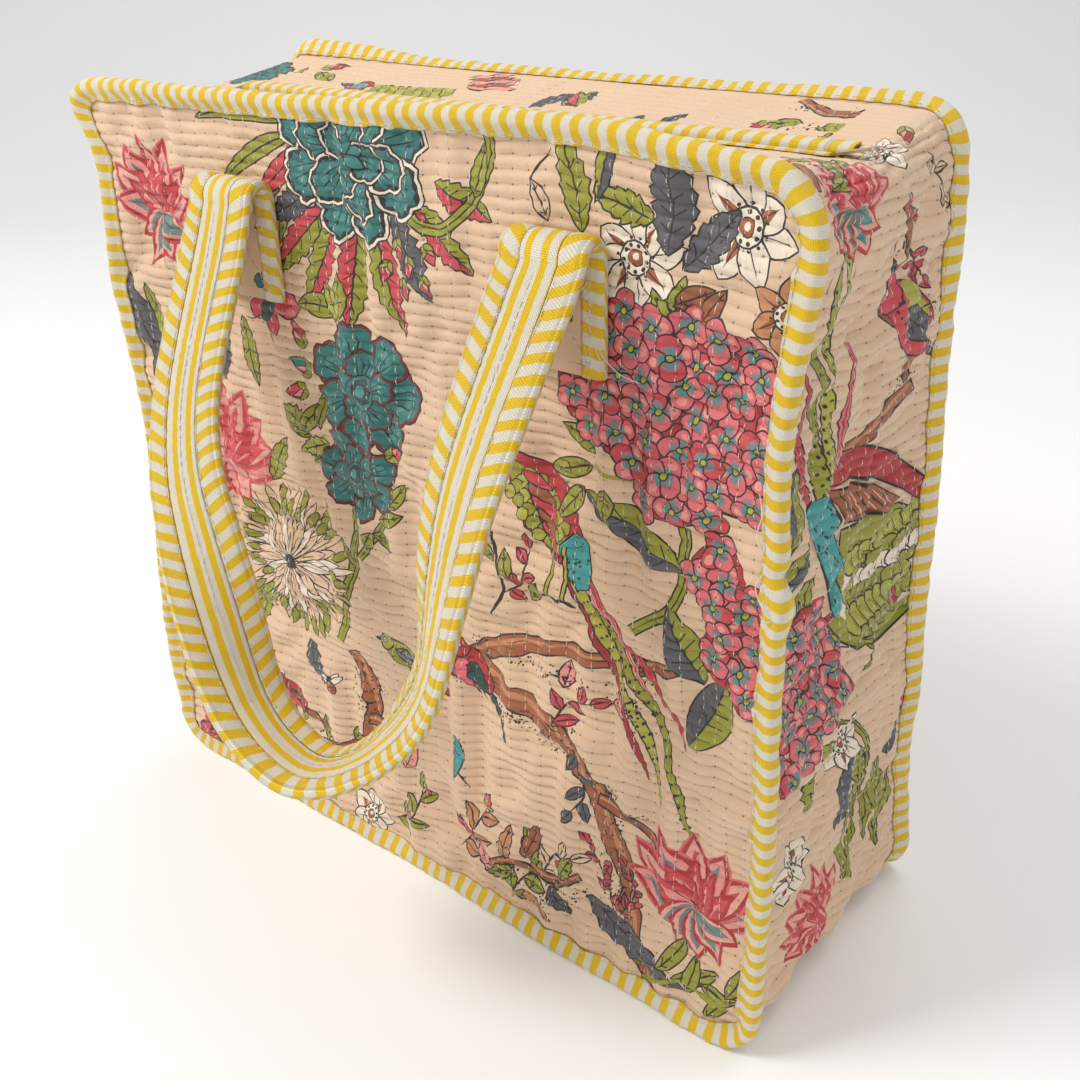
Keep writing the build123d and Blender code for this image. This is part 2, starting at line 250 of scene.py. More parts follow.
class Cloth:
    """Motifs as filled outlines, painted in order."""

    def __init__(self, seed):
        self.items = []
        self.rng = np.random.default_rng(seed)
        self.M = np.eye(2); self.T = np.zeros(2)

    def at(self, x, y, ang=0.0, s=1.0, flip=False):
        a = math.radians(ang)
        self.M = np.array([[math.cos(a), -math.sin(a)], [math.sin(a), math.cos(a)]]) * s
        if flip:
            self.M = self.M @ np.diag([-1, 1])
        self.T = np.array([x, y], float)
        return self

    def raw(self, p, col):
        p = np.asarray(p, float) @ self.M.T + self.T
        if len(p) >= 3:
            self.items.append((ccw(p), CIDX[col]))

    def fill(self, p, col, ow=0.42, edge="black"):
        p = np.asarray(p, float)
        if ow:
            s = math.sqrt(abs(np.linalg.det(self.M)))
            self.raw(offset(p, ow * 1.6 / s), edge)
        self.raw(p, col)

    def line(self, pts, w, col="black", step=2.2, taper=True, w2=None):
        s = math.sqrt(abs(np.linalg.det(self.M)))
        if col == "black":
            w = w * 1.45 if w < 1.3 else w + 0.5
        p = spline(pts, step=step / s)
        if len(p) < 3:
            p = spline(pts, n=3)
        t = np.gradient(p, axis=0); t /= np.linalg.norm(t, axis=1, keepdims=True) + 1e-9
        n = np.stack([-t[:, 1], t[:, 0]], 1)
        u = np.linspace(0, 1, len(p))
        ww = (w if w2 is None else w + (w2 - w) * u) / s / 2
        if taper:
            ww = ww * (0.25 + 0.75 * np.clip(np.minimum(u, 1 - u) * 6, 0, 1))
        ww = (ww * np.ones(len(p)))[:, None]
        self.raw(np.concatenate([p + n * ww, (p - n * ww)[::-1]]), col)

    # -------- small shapes
    def disc(self, x, y, r, col, ow=0.0, n=None, sq=1.0, edge="black"):
        s = math.sqrt(abs(np.linalg.det(self.M)))
        n = n or int(np.clip(TAU * r * s / 1.3, 6, 30))
        a = np.linspace(0, TAU, n, endpoint=False)
        self.fill(np.stack([x + r * np.cos(a), y + r * sq * np.sin(a)], 1), col, ow, edge)

    def drop(self, x, y, ang, L, W, col, ow=0.42, tip=1.0, n=11, edge="black"):
        """A petal from (x, y) along ang; tip 1 is pointed, 0 round."""
        t = np.linspace(0, 1, n)
        prof = np.sin(math.pi * t ** (0.75 + 0.35 * (1 - tip))) ** (0.75 if tip < 0.5 else 1.0)
        prof = prof * (1 if tip > 0.5 else (0.75 + 0.35 * t)) 
        a = math.radians(ang)
        u, v = np.array([math.cos(a), math.sin(a)]), np.array([-math.sin(a), math.cos(a)])
        L_ = [np.array([x, y]) + u * L * tt + v * W / 2 * pp for tt, pp in zip(t, prof)]
        R_ = [np.array([x, y]) + u * L * tt - v * W / 2 * pp for tt, pp in zip(t[1:-1], prof[1:-1])]
        self.fill(np.array(L_ + R_[::-1]), col, ow, edge)
        return u, v

    def leaf(self, x, y, ang, L, W, c1="olive", c2=None, bend=0.0, teeth=0, veins=4, ow=0.45):
        s = math.sqrt(abs(np.linalg.det(self.M)))
        n = max(7, int(L * s / 2.0)) if not teeth else teeth * 4 + 1
        t = np.linspace(0, 1, n)
        a = math.radians(ang) + bend * (t - 0.5)
        mid = np.cumsum(np.stack([np.cos(a), np.sin(a)], 1) * (L / (n - 1)), axis=0)
        mid = mid - mid[0] + np.array([x, y])
        nn = np.stack([-np.sin(a), np.cos(a)], 1)
        prof = np.sin(math.pi * t ** 0.85) ** 0.85 * W / 2
        if teeth:
            saw = (np.arange(n) % 4) / 4.0
            prof = prof * (0.78 + 0.34 * saw)
        prof[0] = prof[-1] = 0
        left, right = mid + nn * prof[:, None], mid - nn * prof[:, None]
        full = np.concatenate([left, right[1:-1][::-1]])
        self.fill(full, c1, ow)
        if c2:
            self.raw(np.concatenate([mid, right[1:-1][::-1]]), c2)
        k = max(3, n // 3)
        self.line(mid[:: max(1, n // 6)] if n > 8 else mid, 0.55, "black", taper=True)
        for q in range(veins):
            i = int((0.18 + 0.62 * q / max(1, veins - 1)) * (n - 1)) if veins > 1 else n // 2
            j = min(n - 1, i + max(1, n // 8))
            for side in (left, right):
                e = mid[i] + (side[j] - mid[i]) * 0.72
                self.line([mid[i], (mid[i] + e) / 2, e], 0.38, "black", step=3.0, taper=False)

    def dots(self, x, y, rx, ry, n, r=0.45, col="black"):
        for _ in range(n):
            a, q = self.rng.uniform(0, TAU), self.rng.uniform(0, 1) ** 0.5
            self.disc(x + rx * q * math.cos(a), y + ry * q * math.sin(a), r * self.rng.uniform(0.7, 1.4), col, n=6)

    # -------- flowers
    def floret(self, x, y, r, rot, full=True):
        for k in range(4):
            a = rot + k * 90 + self.rng.uniform(-9, 9)
            rr = r * self.rng.uniform(0.92, 1.08)
            u = np.array([math.cos(math.radians(a)), math.sin(math.radians(a))])
            v = np.array([-u[1], u[0]])
            th = np.linspace(0, TAU, 15, endpoint=False)
            c = np.array([x, y]) + u * rr * 0.56
            p = np.array([c + u * math.cos(q) * rr * 0.50 + v * math.sin(q) * rr * 0.50 for q in th])
            self.fill(p, "pink" if self.rng.uniform() < 0.8 else "rose", 0.42)
            p2 = np.array([np.array([x, y]) + u * rr * 0.34 + u * math.cos(q) * rr * 0.27 + v * math.sin(q) * rr * 0.34 for q in th[::2]])
            self.raw(p2, "mauve")
            p3 = np.array([np.array([x, y]) + u * rr * 0.25 + u * math.cos(q) * rr * 0.20 + v * math.sin(q) * rr * 0.28 for q in th[::2]])
            self.raw(p3, "tealgrey" if k % 2 else "teal2")
            if k % 2 == 0:
                p4 = np.array([c + u * rr * 0.16 + u * math.cos(q) * rr * 0.20 + v * math.sin(q) * rr * 0.24 for q in th[::2]])
                self.raw(p4, "pinklt")
        self.disc(x, y, r * 0.22, "black", n=9)
        self.disc(x, y, r * 0.15, "olivelt", n=8)

    def hydrangea(self, blobs, r=8.6):
        """blobs: circles (x, y, R) whose union is the flower head."""
        for x, y, R in blobs:
            self.disc(x, y, R * 0.82, "black", ow=0.0)
            self.disc(x, y, R * 0.79, "red", ow=0.0)
        pts = []
        x0 = min(b[0] - b[2] for b in blobs); x1 = max(b[0] + b[2] for b in blobs)
        y0 = min(b[1] - b[2] for b in blobs); y1 = max(b[1] + b[2] for b in blobs)
        row, y = 0, y0
        while y < y1 + 2:
            x = x0 + (row % 2) * r * 0.84
            while x < x1 + 2:
                px, py = x + self.rng.uniform(-2.2, 2.2), y + self.rng.uniform(-2.0, 2.0)
                if any((px - a) ** 2 + (py - b) ** 2 < (R - r * 0.45) ** 2 for a, b, R in blobs):
                    pts.append((px, py))
                x += r * 1.66
            y += r * 1.44
            row += 1
        self.rng.shuffle(pts)
        for px, py in pts:
            self.floret(px, py, r * self.rng.uniform(0.92, 1.06), self.rng.uniform(0, 90))

    def scallop(self, x, y, ang, L, W, col, rim, ow=0.5, seed=0):
        """A broad ruffled petal with a rim colour and dark feathering."""
        a0 = math.radians(ang)
        u, v = np.array([math.cos(a0), math.sin(a0)]), np.array([-math.sin(a0), math.cos(a0)])
        th = np.linspace(-math.pi * 0.93, math.pi * 0.93, 27)
        ph = self.rng.uniform(0, 6)
        rr = 1 + 0.075 * np.sin(6.0 * th + ph) + 0.04 * np.sin(11 * th + ph * 2)
        c = np.array([x, y]) + u * L * 0.52

        def ring(k):
            return np.array([c + u * math.cos(q) * L * 0.52 * m * k + v * math.sin(q) * W * 0.5 * m * k for q, m in zip(th, rr)])
        self.fill(ring(1.0), rim, ow)
        if rim == "white":
            self.raw(ring(0.90), "black")
            inner = ring(0.82)
            inner[::2] = c + (inner[::2] - c) * 0.86
            self.raw(inner, col)
        else:
            self.raw(ring(0.88), col)
        self.raw(np.array([c - u * L * 0.03 + (q - c) * 0.5 for q in ring(0.9)[::2]]), "teal2" if col == "teal" else "pinklt")
        self.raw(np.array([c - u * L * 0.09 + (q - c) * 0.34 for q in ring(0.9)[::2]]), col)
        for k in (-0.5, 0.0, 0.5):
            e = c + u * L * 0.30 * (1 - abs(k) * 0.4) + v * W * 0.5 * k * 0.75
            b = np.array([x, y]) + u * L * 0.14 + v * W * 0.08 * k
            self.line([b, (b + e) / 2 + v * k, e], 0.42, "black", step=3.5)

    def peony(self, R, col="teal", rim="white", tilt=0, squash=0.85, n1=7):
        for ring_r, n, L, W, off in ((0.42, n1, 0.62, 0.62, 0), (0.20, n1 - 2, 0.55, 0.50, 25), (0.02, 4, 0.42, 0.40, 50)):
            for k in range(n):
                a = tilt + off + k * 360.0 / n + self.rng.uniform(-7, 7)
                x, y = ring_r * R * math.cos(math.radians(a)), ring_r * R * squash * math.sin(math.radians(a))
                self.scallop(x, y, a, L * R, W * R, col, rim)
        for k in range(7):
            a = k * 51 + 10
            self.drop(0, 0, a, R * 0.22, R * 0.12, col if k % 2 else "teal2", ow=0.4, tip=0.4, n=6)

    def rose(self, R, tilt=0):
        for k in range(7):
            a = tilt + k * 51.4
            self.scallop(0.36 * R * math.cos(math.radians(a)), 0.32 * R * math.sin(math.radians(a)), a, R * 0.66, R * 0.68, "teal", "reddk", 0.45)
        for k in range(5):
            a = tilt + 20 + k * 72
            self.scallop(0.14 * R * math.cos(math.radians(a)), 0.12 * R * math.sin(math.radians(a)), a, R * 0.46, R * 0.44, "teal", "reddk", 0.42)
        self.disc(0, 0, R * 0.24, "teal", 0.42)
        self.disc(0.02 * R, 0.02 * R, R * 0.17, "tealdk", 0.35, n=9)
        self.disc(0, 0.03 * R, R * 0.10, "teal2", 0.3, n=7)

    def lotus(self, R, c1="red", c2="blush", c3="teal2", n=7, spread=150):
        for k in range(n):
            f = k / (n - 1) * 2 - 1
            a = 90 + f * spread / 2
            L = R * (1.0 - 0.16 * abs(f)) * self.rng.uniform(0.92, 1.06)
            self.drop(0, 0, a, L, R * 0.46, "pink", ow=0.0, tip=0.8, n=11)
            self.drop(0, 0, a, L * 0.97, R * 0.40, c1, ow=0.0, tip=0.8, n=11)
            self.drop(0, 0, a, L * 0.90, R * 0.31, c2 if k % 2 else "pinklt", ow=0.0, tip=0.8, n=10)
            self.drop(0, 0, a, L * 0.76, R * 0.19, c3 if k % 2 == 0 else "rose", ow=0.0, n=9)
            self.drop(0, 0, a, L * 0.60, R * 0.09, c1, ow=0.0, n=8)
        for k in range(n - 2):
            f = k / (n - 3) * 2 - 1
            a = 90 + f * spread / 3.2
            L = R * 0.66
            self.drop(0, -R * 0.05, a, L, R * 0.30, c1, ow=0.0, n=10)
            self.drop(0, -R * 0.05, a, L * 0.9, R * 0.22, "rose", ow=0.0, n=9)
            self.drop(0, -R * 0.05, a, L * 0.7, R * 0.12, "pinklt", ow=0.0, n=8)
            self.line([(0, 0), (0.5 * L * math.cos(math.radians(a)), 0.5 * L * math.sin(math.radians(a)))], 0.6, "reddk", step=3)
        for a in (-150, -118, -90, -62, -30):
            L = R * self.rng.uniform(0.52, 0.72)
            self.drop(0, 0, a, L, R * 0.36, c1, ow=0.0, tip=0.8, n=9)
            self.drop(0, 0, a, L * 0.9, R * 0.27, c2, ow=0.0, tip=0.8, n=9)
            self.drop(0, 0, a, L * 0.78, R * 0.19, c3, ow=0.0, n=8)
            self.line([(0, 0), (0.5 * L * math.cos(math.radians(a)), 0.5 * L * math.sin(math.radians(a)))], 0.6, "reddk", step=3)

    def chrys(self, R, n=26):
        self.disc(0, 0, R * 0.45, "black", 0.0, n=26)
        for ring_n, r0, L in ((n + 8, 0.34, 0.66), (n + 2, 0.20, 0.62), (n - 4, 0.08, 0.52)):
            for k in range(ring_n):
                a = k * 360 / ring_n + self.rng.uniform(-4, 4)
                x, y = r0 * R * math.cos(math.radians(a)), r0 * R * math.sin(math.radians(a))
                LL = L * R * self.rng.uniform(0.88, 1.06)
                self.drop(x, y, a, LL, R * 0.105, "ground" if k % 3 else "white", 0.34, tip=0.35, n=9)
                if self.rng.uniform() < 0.6 and r0 > 0.1:
                    e = (r0 * R + LL * 0.62)
                    self.drop(e * math.cos(math.radians(a)), e * math.sin(math.radians(a)), a + self.rng.uniform(-12, 12), LL * 0.42, R * 0.10, "olive", 0.34, tip=0.3, n=7)
                self.line([(x + LL * 0.1 * math.cos(math.radians(a)), y + LL * 0.1 * math.sin(math.radians(a))), (x + LL * 0.62 * math.cos(math.radians(a)), y + LL * 0.62 * math.sin(math.radians(a)))], 0.3, "black", step=4)
        self.dots(0, 0, R * 0.13, R * 0.13, 12, 0.5)

    def daisy(self, R, petals=7, col="white", tip="brownlt"):
        for k in range(petals):
            a = k * 360 / petals + self.rng.uniform(-6, 6)
            self.drop(0, 0, a, R * self.rng.uniform(0.85, 1.08), R * 0.60, col, 0.42, tip=0.45, n=10)
            self.drop(0, 0, a, R * 0.72, R * 0.20, tip if k % 2 else col, 0.0, tip=0.7, n=7)
            self.line([(0.2 * R * math.cos(math.radians(a)), 0.2 * R * math.sin(math.radians(a))), (0.8 * R * math.cos(math.radians(a)), 0.8 * R * math.sin(math.radians(a)))], 0.34, step=3)
        self.disc(0, 0, R * 0.34, "black", 0.0, n=13)
        self.disc(0, 0, R * 0.30, "white", 0.0, n=13)
        for k in range(9):
            a = (k + 0.5) * TAU / 9
            self.disc(R * 0.245 * math.cos(a), R * 0.245 * math.sin(a), R * 0.045, "black", n=6)
        self.disc(0, 0, R * 0.17, "black", 0.0, n=11)
        self.disc(0, 0, R * 0.15, "brown", 0.0, n=9); self.disc(0.02 * R, 0.03 * R, R * 0.07, "white", 0.0, n=7)
        for k in range(11):
            a = k * TAU / 11
            self.disc(R * 0.37 * math.cos(a), R * 0.37 * math.sin(a), R * 0.035, "black", n=6)

    def bud(self, x, y, ang, L, col="rose"):
        self.drop(x, y, ang, L, L * 0.55, col, 0.42, n=9)
        self.drop(x, y, ang + 14, L * 0.72, L * 0.24, "pinklt", 0.3, n=7)
        self.drop(x, y, ang - 38, L * 0.55, L * 0.24, "olive", 0.36, n=7)
        self.drop(x, y, ang + 38, L * 0.55, L * 0.24, "olive", 0.36, n=7)

    def sprig(self, pts, n=6, L=9, W=4, col="olive", w=0.8, berries=0, bud=None):
        p = spline(pts, n=n * 2 + 2)
        self.line(p, w, "black")
        for k in range(n):
            q = p[1 + k * 2]; d = p[min(len(p) - 1, 2 + k * 2)] - q
            a = math.degrees(math.atan2(d[1], d[0])) + (52 if k % 2 else -52)
            self.leaf(q[0], q[1], a, L * self.rng.uniform(0.8, 1.15), W, col, veins=0)
        if berries:
            for k in range(berries):
                q = p[int(self.rng.uniform(2, len(p) - 1))] + self.rng.uniform(-5, 5, 2)
                self.disc(q[0], q[1], 1.5, "rose", 0.4, n=9)
        e = p[-1]; d = p[-1] - p[-2]
        a = math.degrees(math.atan2(d[1], d[0]))
        if bud:
            self.bud(e[0], e[1], a, bud)
        else:
            self.leaf(e[0], e[1], a, L, W, col, veins=0)

    def stem(self, pts, w=3.4, col="olive"):
        self.line(pts, w + 1.0, "black", taper=False)
        self.line(pts, w, col, taper=False)
        p = spline(pts, step=5)
        if len(p) > 3:
            self.line(p + np.array([w * 0.12, w * 0.1]), 0.45, "black")

    def branch(self, pts, w0=9.0, w1=3.0, knots=True, moss=True):
        p = spline(pts, step=2.4)
        t = np.gradient(p, axis=0); t /= np.linalg.norm(t, axis=1, keepdims=True) + 1e-9
        n = np.stack([-t[:, 1], t[:, 0]], 1)
        u = np.linspace(0, 1, len(p))
        s = np.cumsum(np.linalg.norm(np.gradient(p, axis=0), axis=1))
        sd = int(abs(pts[0][0]) * 7 + abs(pts[0][1])) % 97
        w = (w0 + (w1 - w0) * u) / 2
        wl = w * (1 + 0.30 * noise(s / 6.0, 0.3, sd)); wr = w * (1 + 0.30 * noise(s / 7.0, 9.3, sd + 1))
        self.fill(np.concatenate([p + n * wl[:, None], (p - n * wr[:, None])[::-1]]), "brown", 0.5)
        hi = p + n * (wl * 0.35)[:, None]
        self.raw(np.concatenate([hi + n * (wl * 0.30)[:, None], (hi - n * (wl * 0.22)[:, None])[::-1]]), "brownlt")
        for k in range(int(s[-1] / 11)):
            i = int(self.rng.uniform(2, len(p) - 7)) if len(p) > 10 else 1
            j = min(len(p) - 1, i + int(self.rng.uniform(3, 7)))
            o = self.rng.uniform(-0.6, 0.7)
            self.line([p[q] + n[q] * w[q] * o * (1 - 0.25 * ((q - i) % 3)) for q in range(i, j, 1)] if j - i > 1 else [p[i], p[j]], 0.55, "browndk" if k % 2 else "black", step=3)
        if moss:
            for k in range(int(s[-1] / 22)):
                i = int(self.rng.uniform(1, len(p) - 1))
                side = 1 if self.rng.uniform() < 0.5 else -1
                q = p[i] + n[i] * (w[i] + 2.2) * side
                self.dots(q[0], q[1], 6.5, 3.2, 13, 0.5)

    # -------- creatures, in a plain folk style
    def smallbird(self, c1="olive", c2="grey", c3="rose"):
        self.line([(10, -7), (19, -15), (26, -24)], 4.2, "black", w2=2.2, taper=False)
        self.line([(10, -7), (19, -15), (26, -24)], 3.2, c2, w2=1.4, taper=False)
        th = np.linspace(0, TAU, 24, endpoint=False)
        body = np.stack([12.5 * np.cos(th), 7.2 * np.sin(th) * (1 + 0.15 * np.cos(th))], 1) @ np.array([[0.82, -0.57], [0.57, 0.82]])
        self.fill(body, c1, 0.5)
        self.raw(body * np.array([0.72, 0.6]) + np.array([-1.5, -2.6]), c3)
        self.disc(-10.5, 7.5, 4.8, c1, 0.5)
        self.drop(-14.2, 8.2, 172, 6.0, 2.0, "black", 0.2, n=6)
        self.disc(-11.6, 8.4, 1.5, "white", 0.4, n=9); self.disc(-11.6, 8.4, 0.8, "black", n=7)
        self.leaf(-3.5, 2.5, -42, 17, 7.5, c2, bend=-0.4, veins=3)
        self.dots(-3, 3.5, 6, 3, 12, 0.42)
        self.line([(1, -6), (2, -11), (5, -12)], 0.7); self.line([(4, -7), (6, -11), (9, -12)], 0.7)

    def sidebird(self, m=1):
        """A bird across the side band, tail up: m is -1 for the mirrored one."""
        def P(*q):
            return np.array([(a * m, b) for a, b in q], float)
        for pts, w, col in ((P((-30, 256), (-44, 296), (-50, 334), (-46, 376)), 8.0, "olive"), (P((-26, 258), (-36, 300), (-40, 336), (-34, 366)), 6.0, "olivelt"),
                            (P((-38, 256), (-56, 292), (-60, 322)), 4.2, "rose"), (P((-20, 260), (-26, 290), (-22, 322)), 4.2, "pink")):
            q = spline(pts, step=2.6)
            self.line(q, w + 1.1, "black", w2=w * 0.5 + 0.9, taper=False); self.line(q, w, col, w2=w * 0.42, taper=False)
            if col.startswith("olive"):
                for i in range(1, len(q) - 2, 2):
                    self.disc(q[i][0] - w * 0.16, q[i][1], 0.85, "black", n=6); self.disc(q[i][0] + w * 0.18, q[i][1] + 2.0, 0.8, "black", n=6)
            else:
                self.line(q, 0.5, "reddk")
        self.fill(P((-18, 200), (-8, 184), (8, 172), (30, 166), (66, 166), (66, 214), (44, 228), (14, 238), (-12, 238), (-22, 222)), "olive", 0.7)
        self.fill(P((-8, 196), (6, 182), (28, 174), (66, 173), (66, 206), (40, 218), (12, 224), (-8, 216)), "white", 0.0)
        for r in range(6):
            for k in range(11):
                x, z = -3 + k * 6.6 + (r % 2) * 3.3 + r * 2.0, 219 - r * 8.2 + k * 0.2
                if x < 64:
                    self.disc(x * m, z, 4.9, "white" if r == 2 and k > 1 else ("olivelt", "olive")[r % 2], 0.5, n=14)
                    self.line(P((x, z + 1.0), (x + 0.6, z - 3.2)), 0.4)
        self.fill(P((-24, 262), (-6, 260), (20, 250), (44, 236), (66, 222), (66, 232), (46, 248), (22, 262), (0, 272), (-16, 274)), "red", 0.6)
        self.fill(P((-24, 260), (-4, 256), (20, 246), (42, 232), (30, 230), (8, 238), (-14, 242)), "brown", 0.5)
        for k in range(6):
            self.line(P((-18 + k * 8, 258 - k * 3.0), (-8 + k * 8, 240 - k * 1.6)), 0.6)
            self.line(P((-14 + k * 8, 257 - k * 3.0), (-5 + k * 8, 240 - k * 1.6)), 0.8, "blush")
        self.fill(P((-44, 256), (-34, 262), (-24, 260), (-20, 240), (-12, 214), (-8, 200), (-14, 194), (-22, 206), (-34, 228)), "aqua", 0.7)
        self.dots(-30 * m, 246, 9, 10, 26, 0.7); self.dots(-20 * m, 218, 6, 14, 22, 0.7)
        for k in range(5):
            self.line(P((-16 + k * 9, 186 - k * 4.0), (-4 + k * 9, 178 - k * 2.6), (12 + k * 9, 174 - k)), 0.45)

    def longbird(self, tail=((0, 0), (20, -28), (32, -62), (36, -104)), body_ang=0):
        """Body at the origin, tail along the given line."""
        t = np.array(tail, float)
        for dx, dy, w, col, cut in ((6, 3, 4.2, "rose", 0.72), (-5, -4, 3.4, "red", 0.80), (2.5, 0, 5.6, "olive", 1.0), (-3.5, -1, 5.4, "olivelt", 0.93), (0.5, 4, 3.6, "pinklt", 0.62)):
            q = spline(t, n=24)[: max(6, int(24 * cut))]
            f = np.linspace(0, 1, len(q))[:, None]
            q = q + np.array([dx, dy]) * (0.35 + 1.5 * f)
            self.line(q, w + 1.0, "black", w2=w * 0.55 + 0.8); self.line(q, w, col, w2=w * 0.5)
            if col.startswith("olive"):
                for i in range(2, len(q) - 1):
                    for o in (-0.8, 0.9):
                        self.disc(q[i][0] + o, q[i][1] + o * 0.6, 0.62, "black", n=6)
            else:
                self.line(q, 0.4, "reddk")
        th = np.linspace(0, TAU, 30, endpoint=False)
        body = np.stack([22 * np.cos(th), 11.5 * np.sin(th) * (1 + 0.18 * np.cos(th + 2.6))], 1)
        a = math.radians(135)
        Rm = np.array([[math.cos(a), math.sin(a)], [-math.sin(a), math.cos(a)]])
        c0 = np.array([-13.0, 14.0])
        self.fill(body @ Rm + c0, "red", 0.5)
        self.raw((body * np.array([0.86, 0.66]) + np.array([1, 2.4])) @ Rm + c0, "olive")
        for r in range(6):
            for k in range(-2, 3):
                q = np.array([-12 + r * 4.6, 2.0 + k * 3.0 + (r % 2) * 1.4]) @ Rm + c0
                self.disc(q[0], q[1], 2.3, "olivelt" if (r + k) % 2 else "olive", 0.34, n=9)
        self.fill(np.array([(-3, 2), (3, 8), (7, 4), (10, -4), (8, -12), (4, -13), (0, -6)]), "aqua", 0.45)
        self.dots(4, -2, 4, 7, 14, 0.45)
        for k in range(5):
            self.drop(-14 - 2.2 * k, 10 + 3.4 * k, -52 + 7 * k, 17 - k, 4.4, "brown" if k % 2 else "rose", 0.42, n=9)
        self.disc(-30, 33, 6.0, "red", 0.5); self.disc(-31, 34, 4.4, "olive", 0.0)
        self.drop(-35, 35, 168, 7.5, 3.0, "grey", 0.42, n=7)
        self.disc(-31.6, 35, 1.7, "white", 0.4, n=9); self.disc(-31.6, 35, 0.9, "black", n=7)
        for x in (-8, -1):
            self.line([(x, 2), (x + 1, -9), (x - 1, -19)], 2.2, "black", taper=False)
            self.line([(x, 2), (x + 1, -9), (x - 1, -19)], 1.2, "olivelt", taper=False)
            self.line([(x - 5, -21), (x - 1, -19), (x + 4, -21)], 1.1, "black")

    def bee(self):
        for a in (35, 145, 15, 165):
            self.drop(0, 1, a, 6.5, 2.8, "white", 0.34, tip=0.3, n=8)
        self.disc(0, -1, 2.4, "brown", 0.4, sq=1.4, n=10)
        self.disc(0, 3.2, 1.4, "black", n=8)
        self.line([(-1, 4), (-3, 8)], 0.34); self.line([(1, 4), (3, 8)], 0.34)
        self.line([(-2, -1), (2, -1)], 0.5); self.line([(-2, -2.6), (2, -2.6)], 0.5)

    def moth(self):
        for s in (-1, 1):
            self.drop(0, 2, 90 - s * 58, 17, 11, "pink", 0.45, tip=0.4, n=11)
            self.drop(0, 2, 90 - s * 58, 12, 6, "rose", 0.0, tip=0.4, n=9)
            self.drop(0, 0, -90 + s * 45, 11, 8, "rose", 0.42, tip=0.3, n=9)
            self.dots(s * 8, 6, 4, 3, 8, 0.55, "reddk")
            self.line([(s * 1, -4), (s * 5, -10), (s * 9, -12)], 0.5)
        self.disc(0, 0, 3.0, "tealdk", 0.42, sq=2.2)
        self.disc(0, 8, 2.5, "brown", 0.42)
        self.line([(-1, 9), (-4, 14)], 0.4); self.line([(1, 9), (4, 14)], 0.4)


def clip_rect(p, x0, x1, y0, y1):
    for axis, lim, sgn in ((0, x0, 1), (0, x1, -1), (1, y0, 1), (1, y1, -1)):
        if not len(p):
            return p
        d = (p[:, axis] - lim) * sgn
        if (d >= 0).all():
            continue
        out = []
        for i in range(len(p)):
            a, b, da, db = p[i], p[(i + 1) % len(p)], d[i], d[(i + 1) % len(p)]
            if da >= 0:
                out.append(a)
            if (da >= 0) != (db >= 0):
                out.append(a + (b - a) * (da / (da - db)))
        p = np.array(out)
    return p


def sheet(domain, items, pts, eps=1e-4):
    """Triangulates the domain polygon with every motif edge in it. Returns 2D verts, tris, colour index per tri."""
    x0, y0 = domain.min(0); x1, y1 = domain.max(0)
    V = [pts]; faces = []; cols = []
    at = len(pts)
    V.append(domain); faces.append(list(range(at, at + len(domain)))); cols.append(CIDX["ground"]); at += len(domain)
    for p, c in items:
        if p[:, 0].max() < x0 + 0.2 or p[:, 0].min() > x1 - 0.2 or p[:, 1].max() < y0 + 0.2 or p[:, 1].min() > y1 - 0.2:
            continue
        p = clip_rect(p, x0 + 0.05, x1 - 0.05, y0 + 0.05, y1 - 0.05)
        if len(p) < 3:
            continue
        keep = np.linalg.norm(p - np.roll(p, 1, 0), axis=1) > 0.12
        p = p[keep]
        if len(p) < 3 or abs(area(p)) < 0.15:
            continue
        V.append(p); faces.append(list(range(at, at + len(p)))); cols.append(c); at += len(p)
    allv = np.concatenate(V)
    r = delaunay_2d_cdt([Vector((float(a), float(b))) for a, b in allv], [], faces, 0, eps)
    out = np.array([(v[0], v[1]) for v in r[0]])
    tris = np.array(r[2], np.int64)
    cols = np.array(cols)
    idx = np.full(len(tris), -1)
    for k, of in enumerate(r[5]):
        if of and 0 in of:
            idx[k] = cols[max(of)]
    keep = idx >= 0
    tris, idx = tris[keep], idx[keep]
    a, b, c = out[tris[:, 0]], out[tris[:, 1]], out[tris[:, 2]]
    ar = (b[:, 0] - a[:, 0]) * (c[:, 1] - a[:, 1]) - (b[:, 1] - a[:, 1]) * (c[:, 0] - a[:, 0])
    flip = ar < 0
    tris[flip] = tris[flip][:, ::-1]
    return out, tris, idx
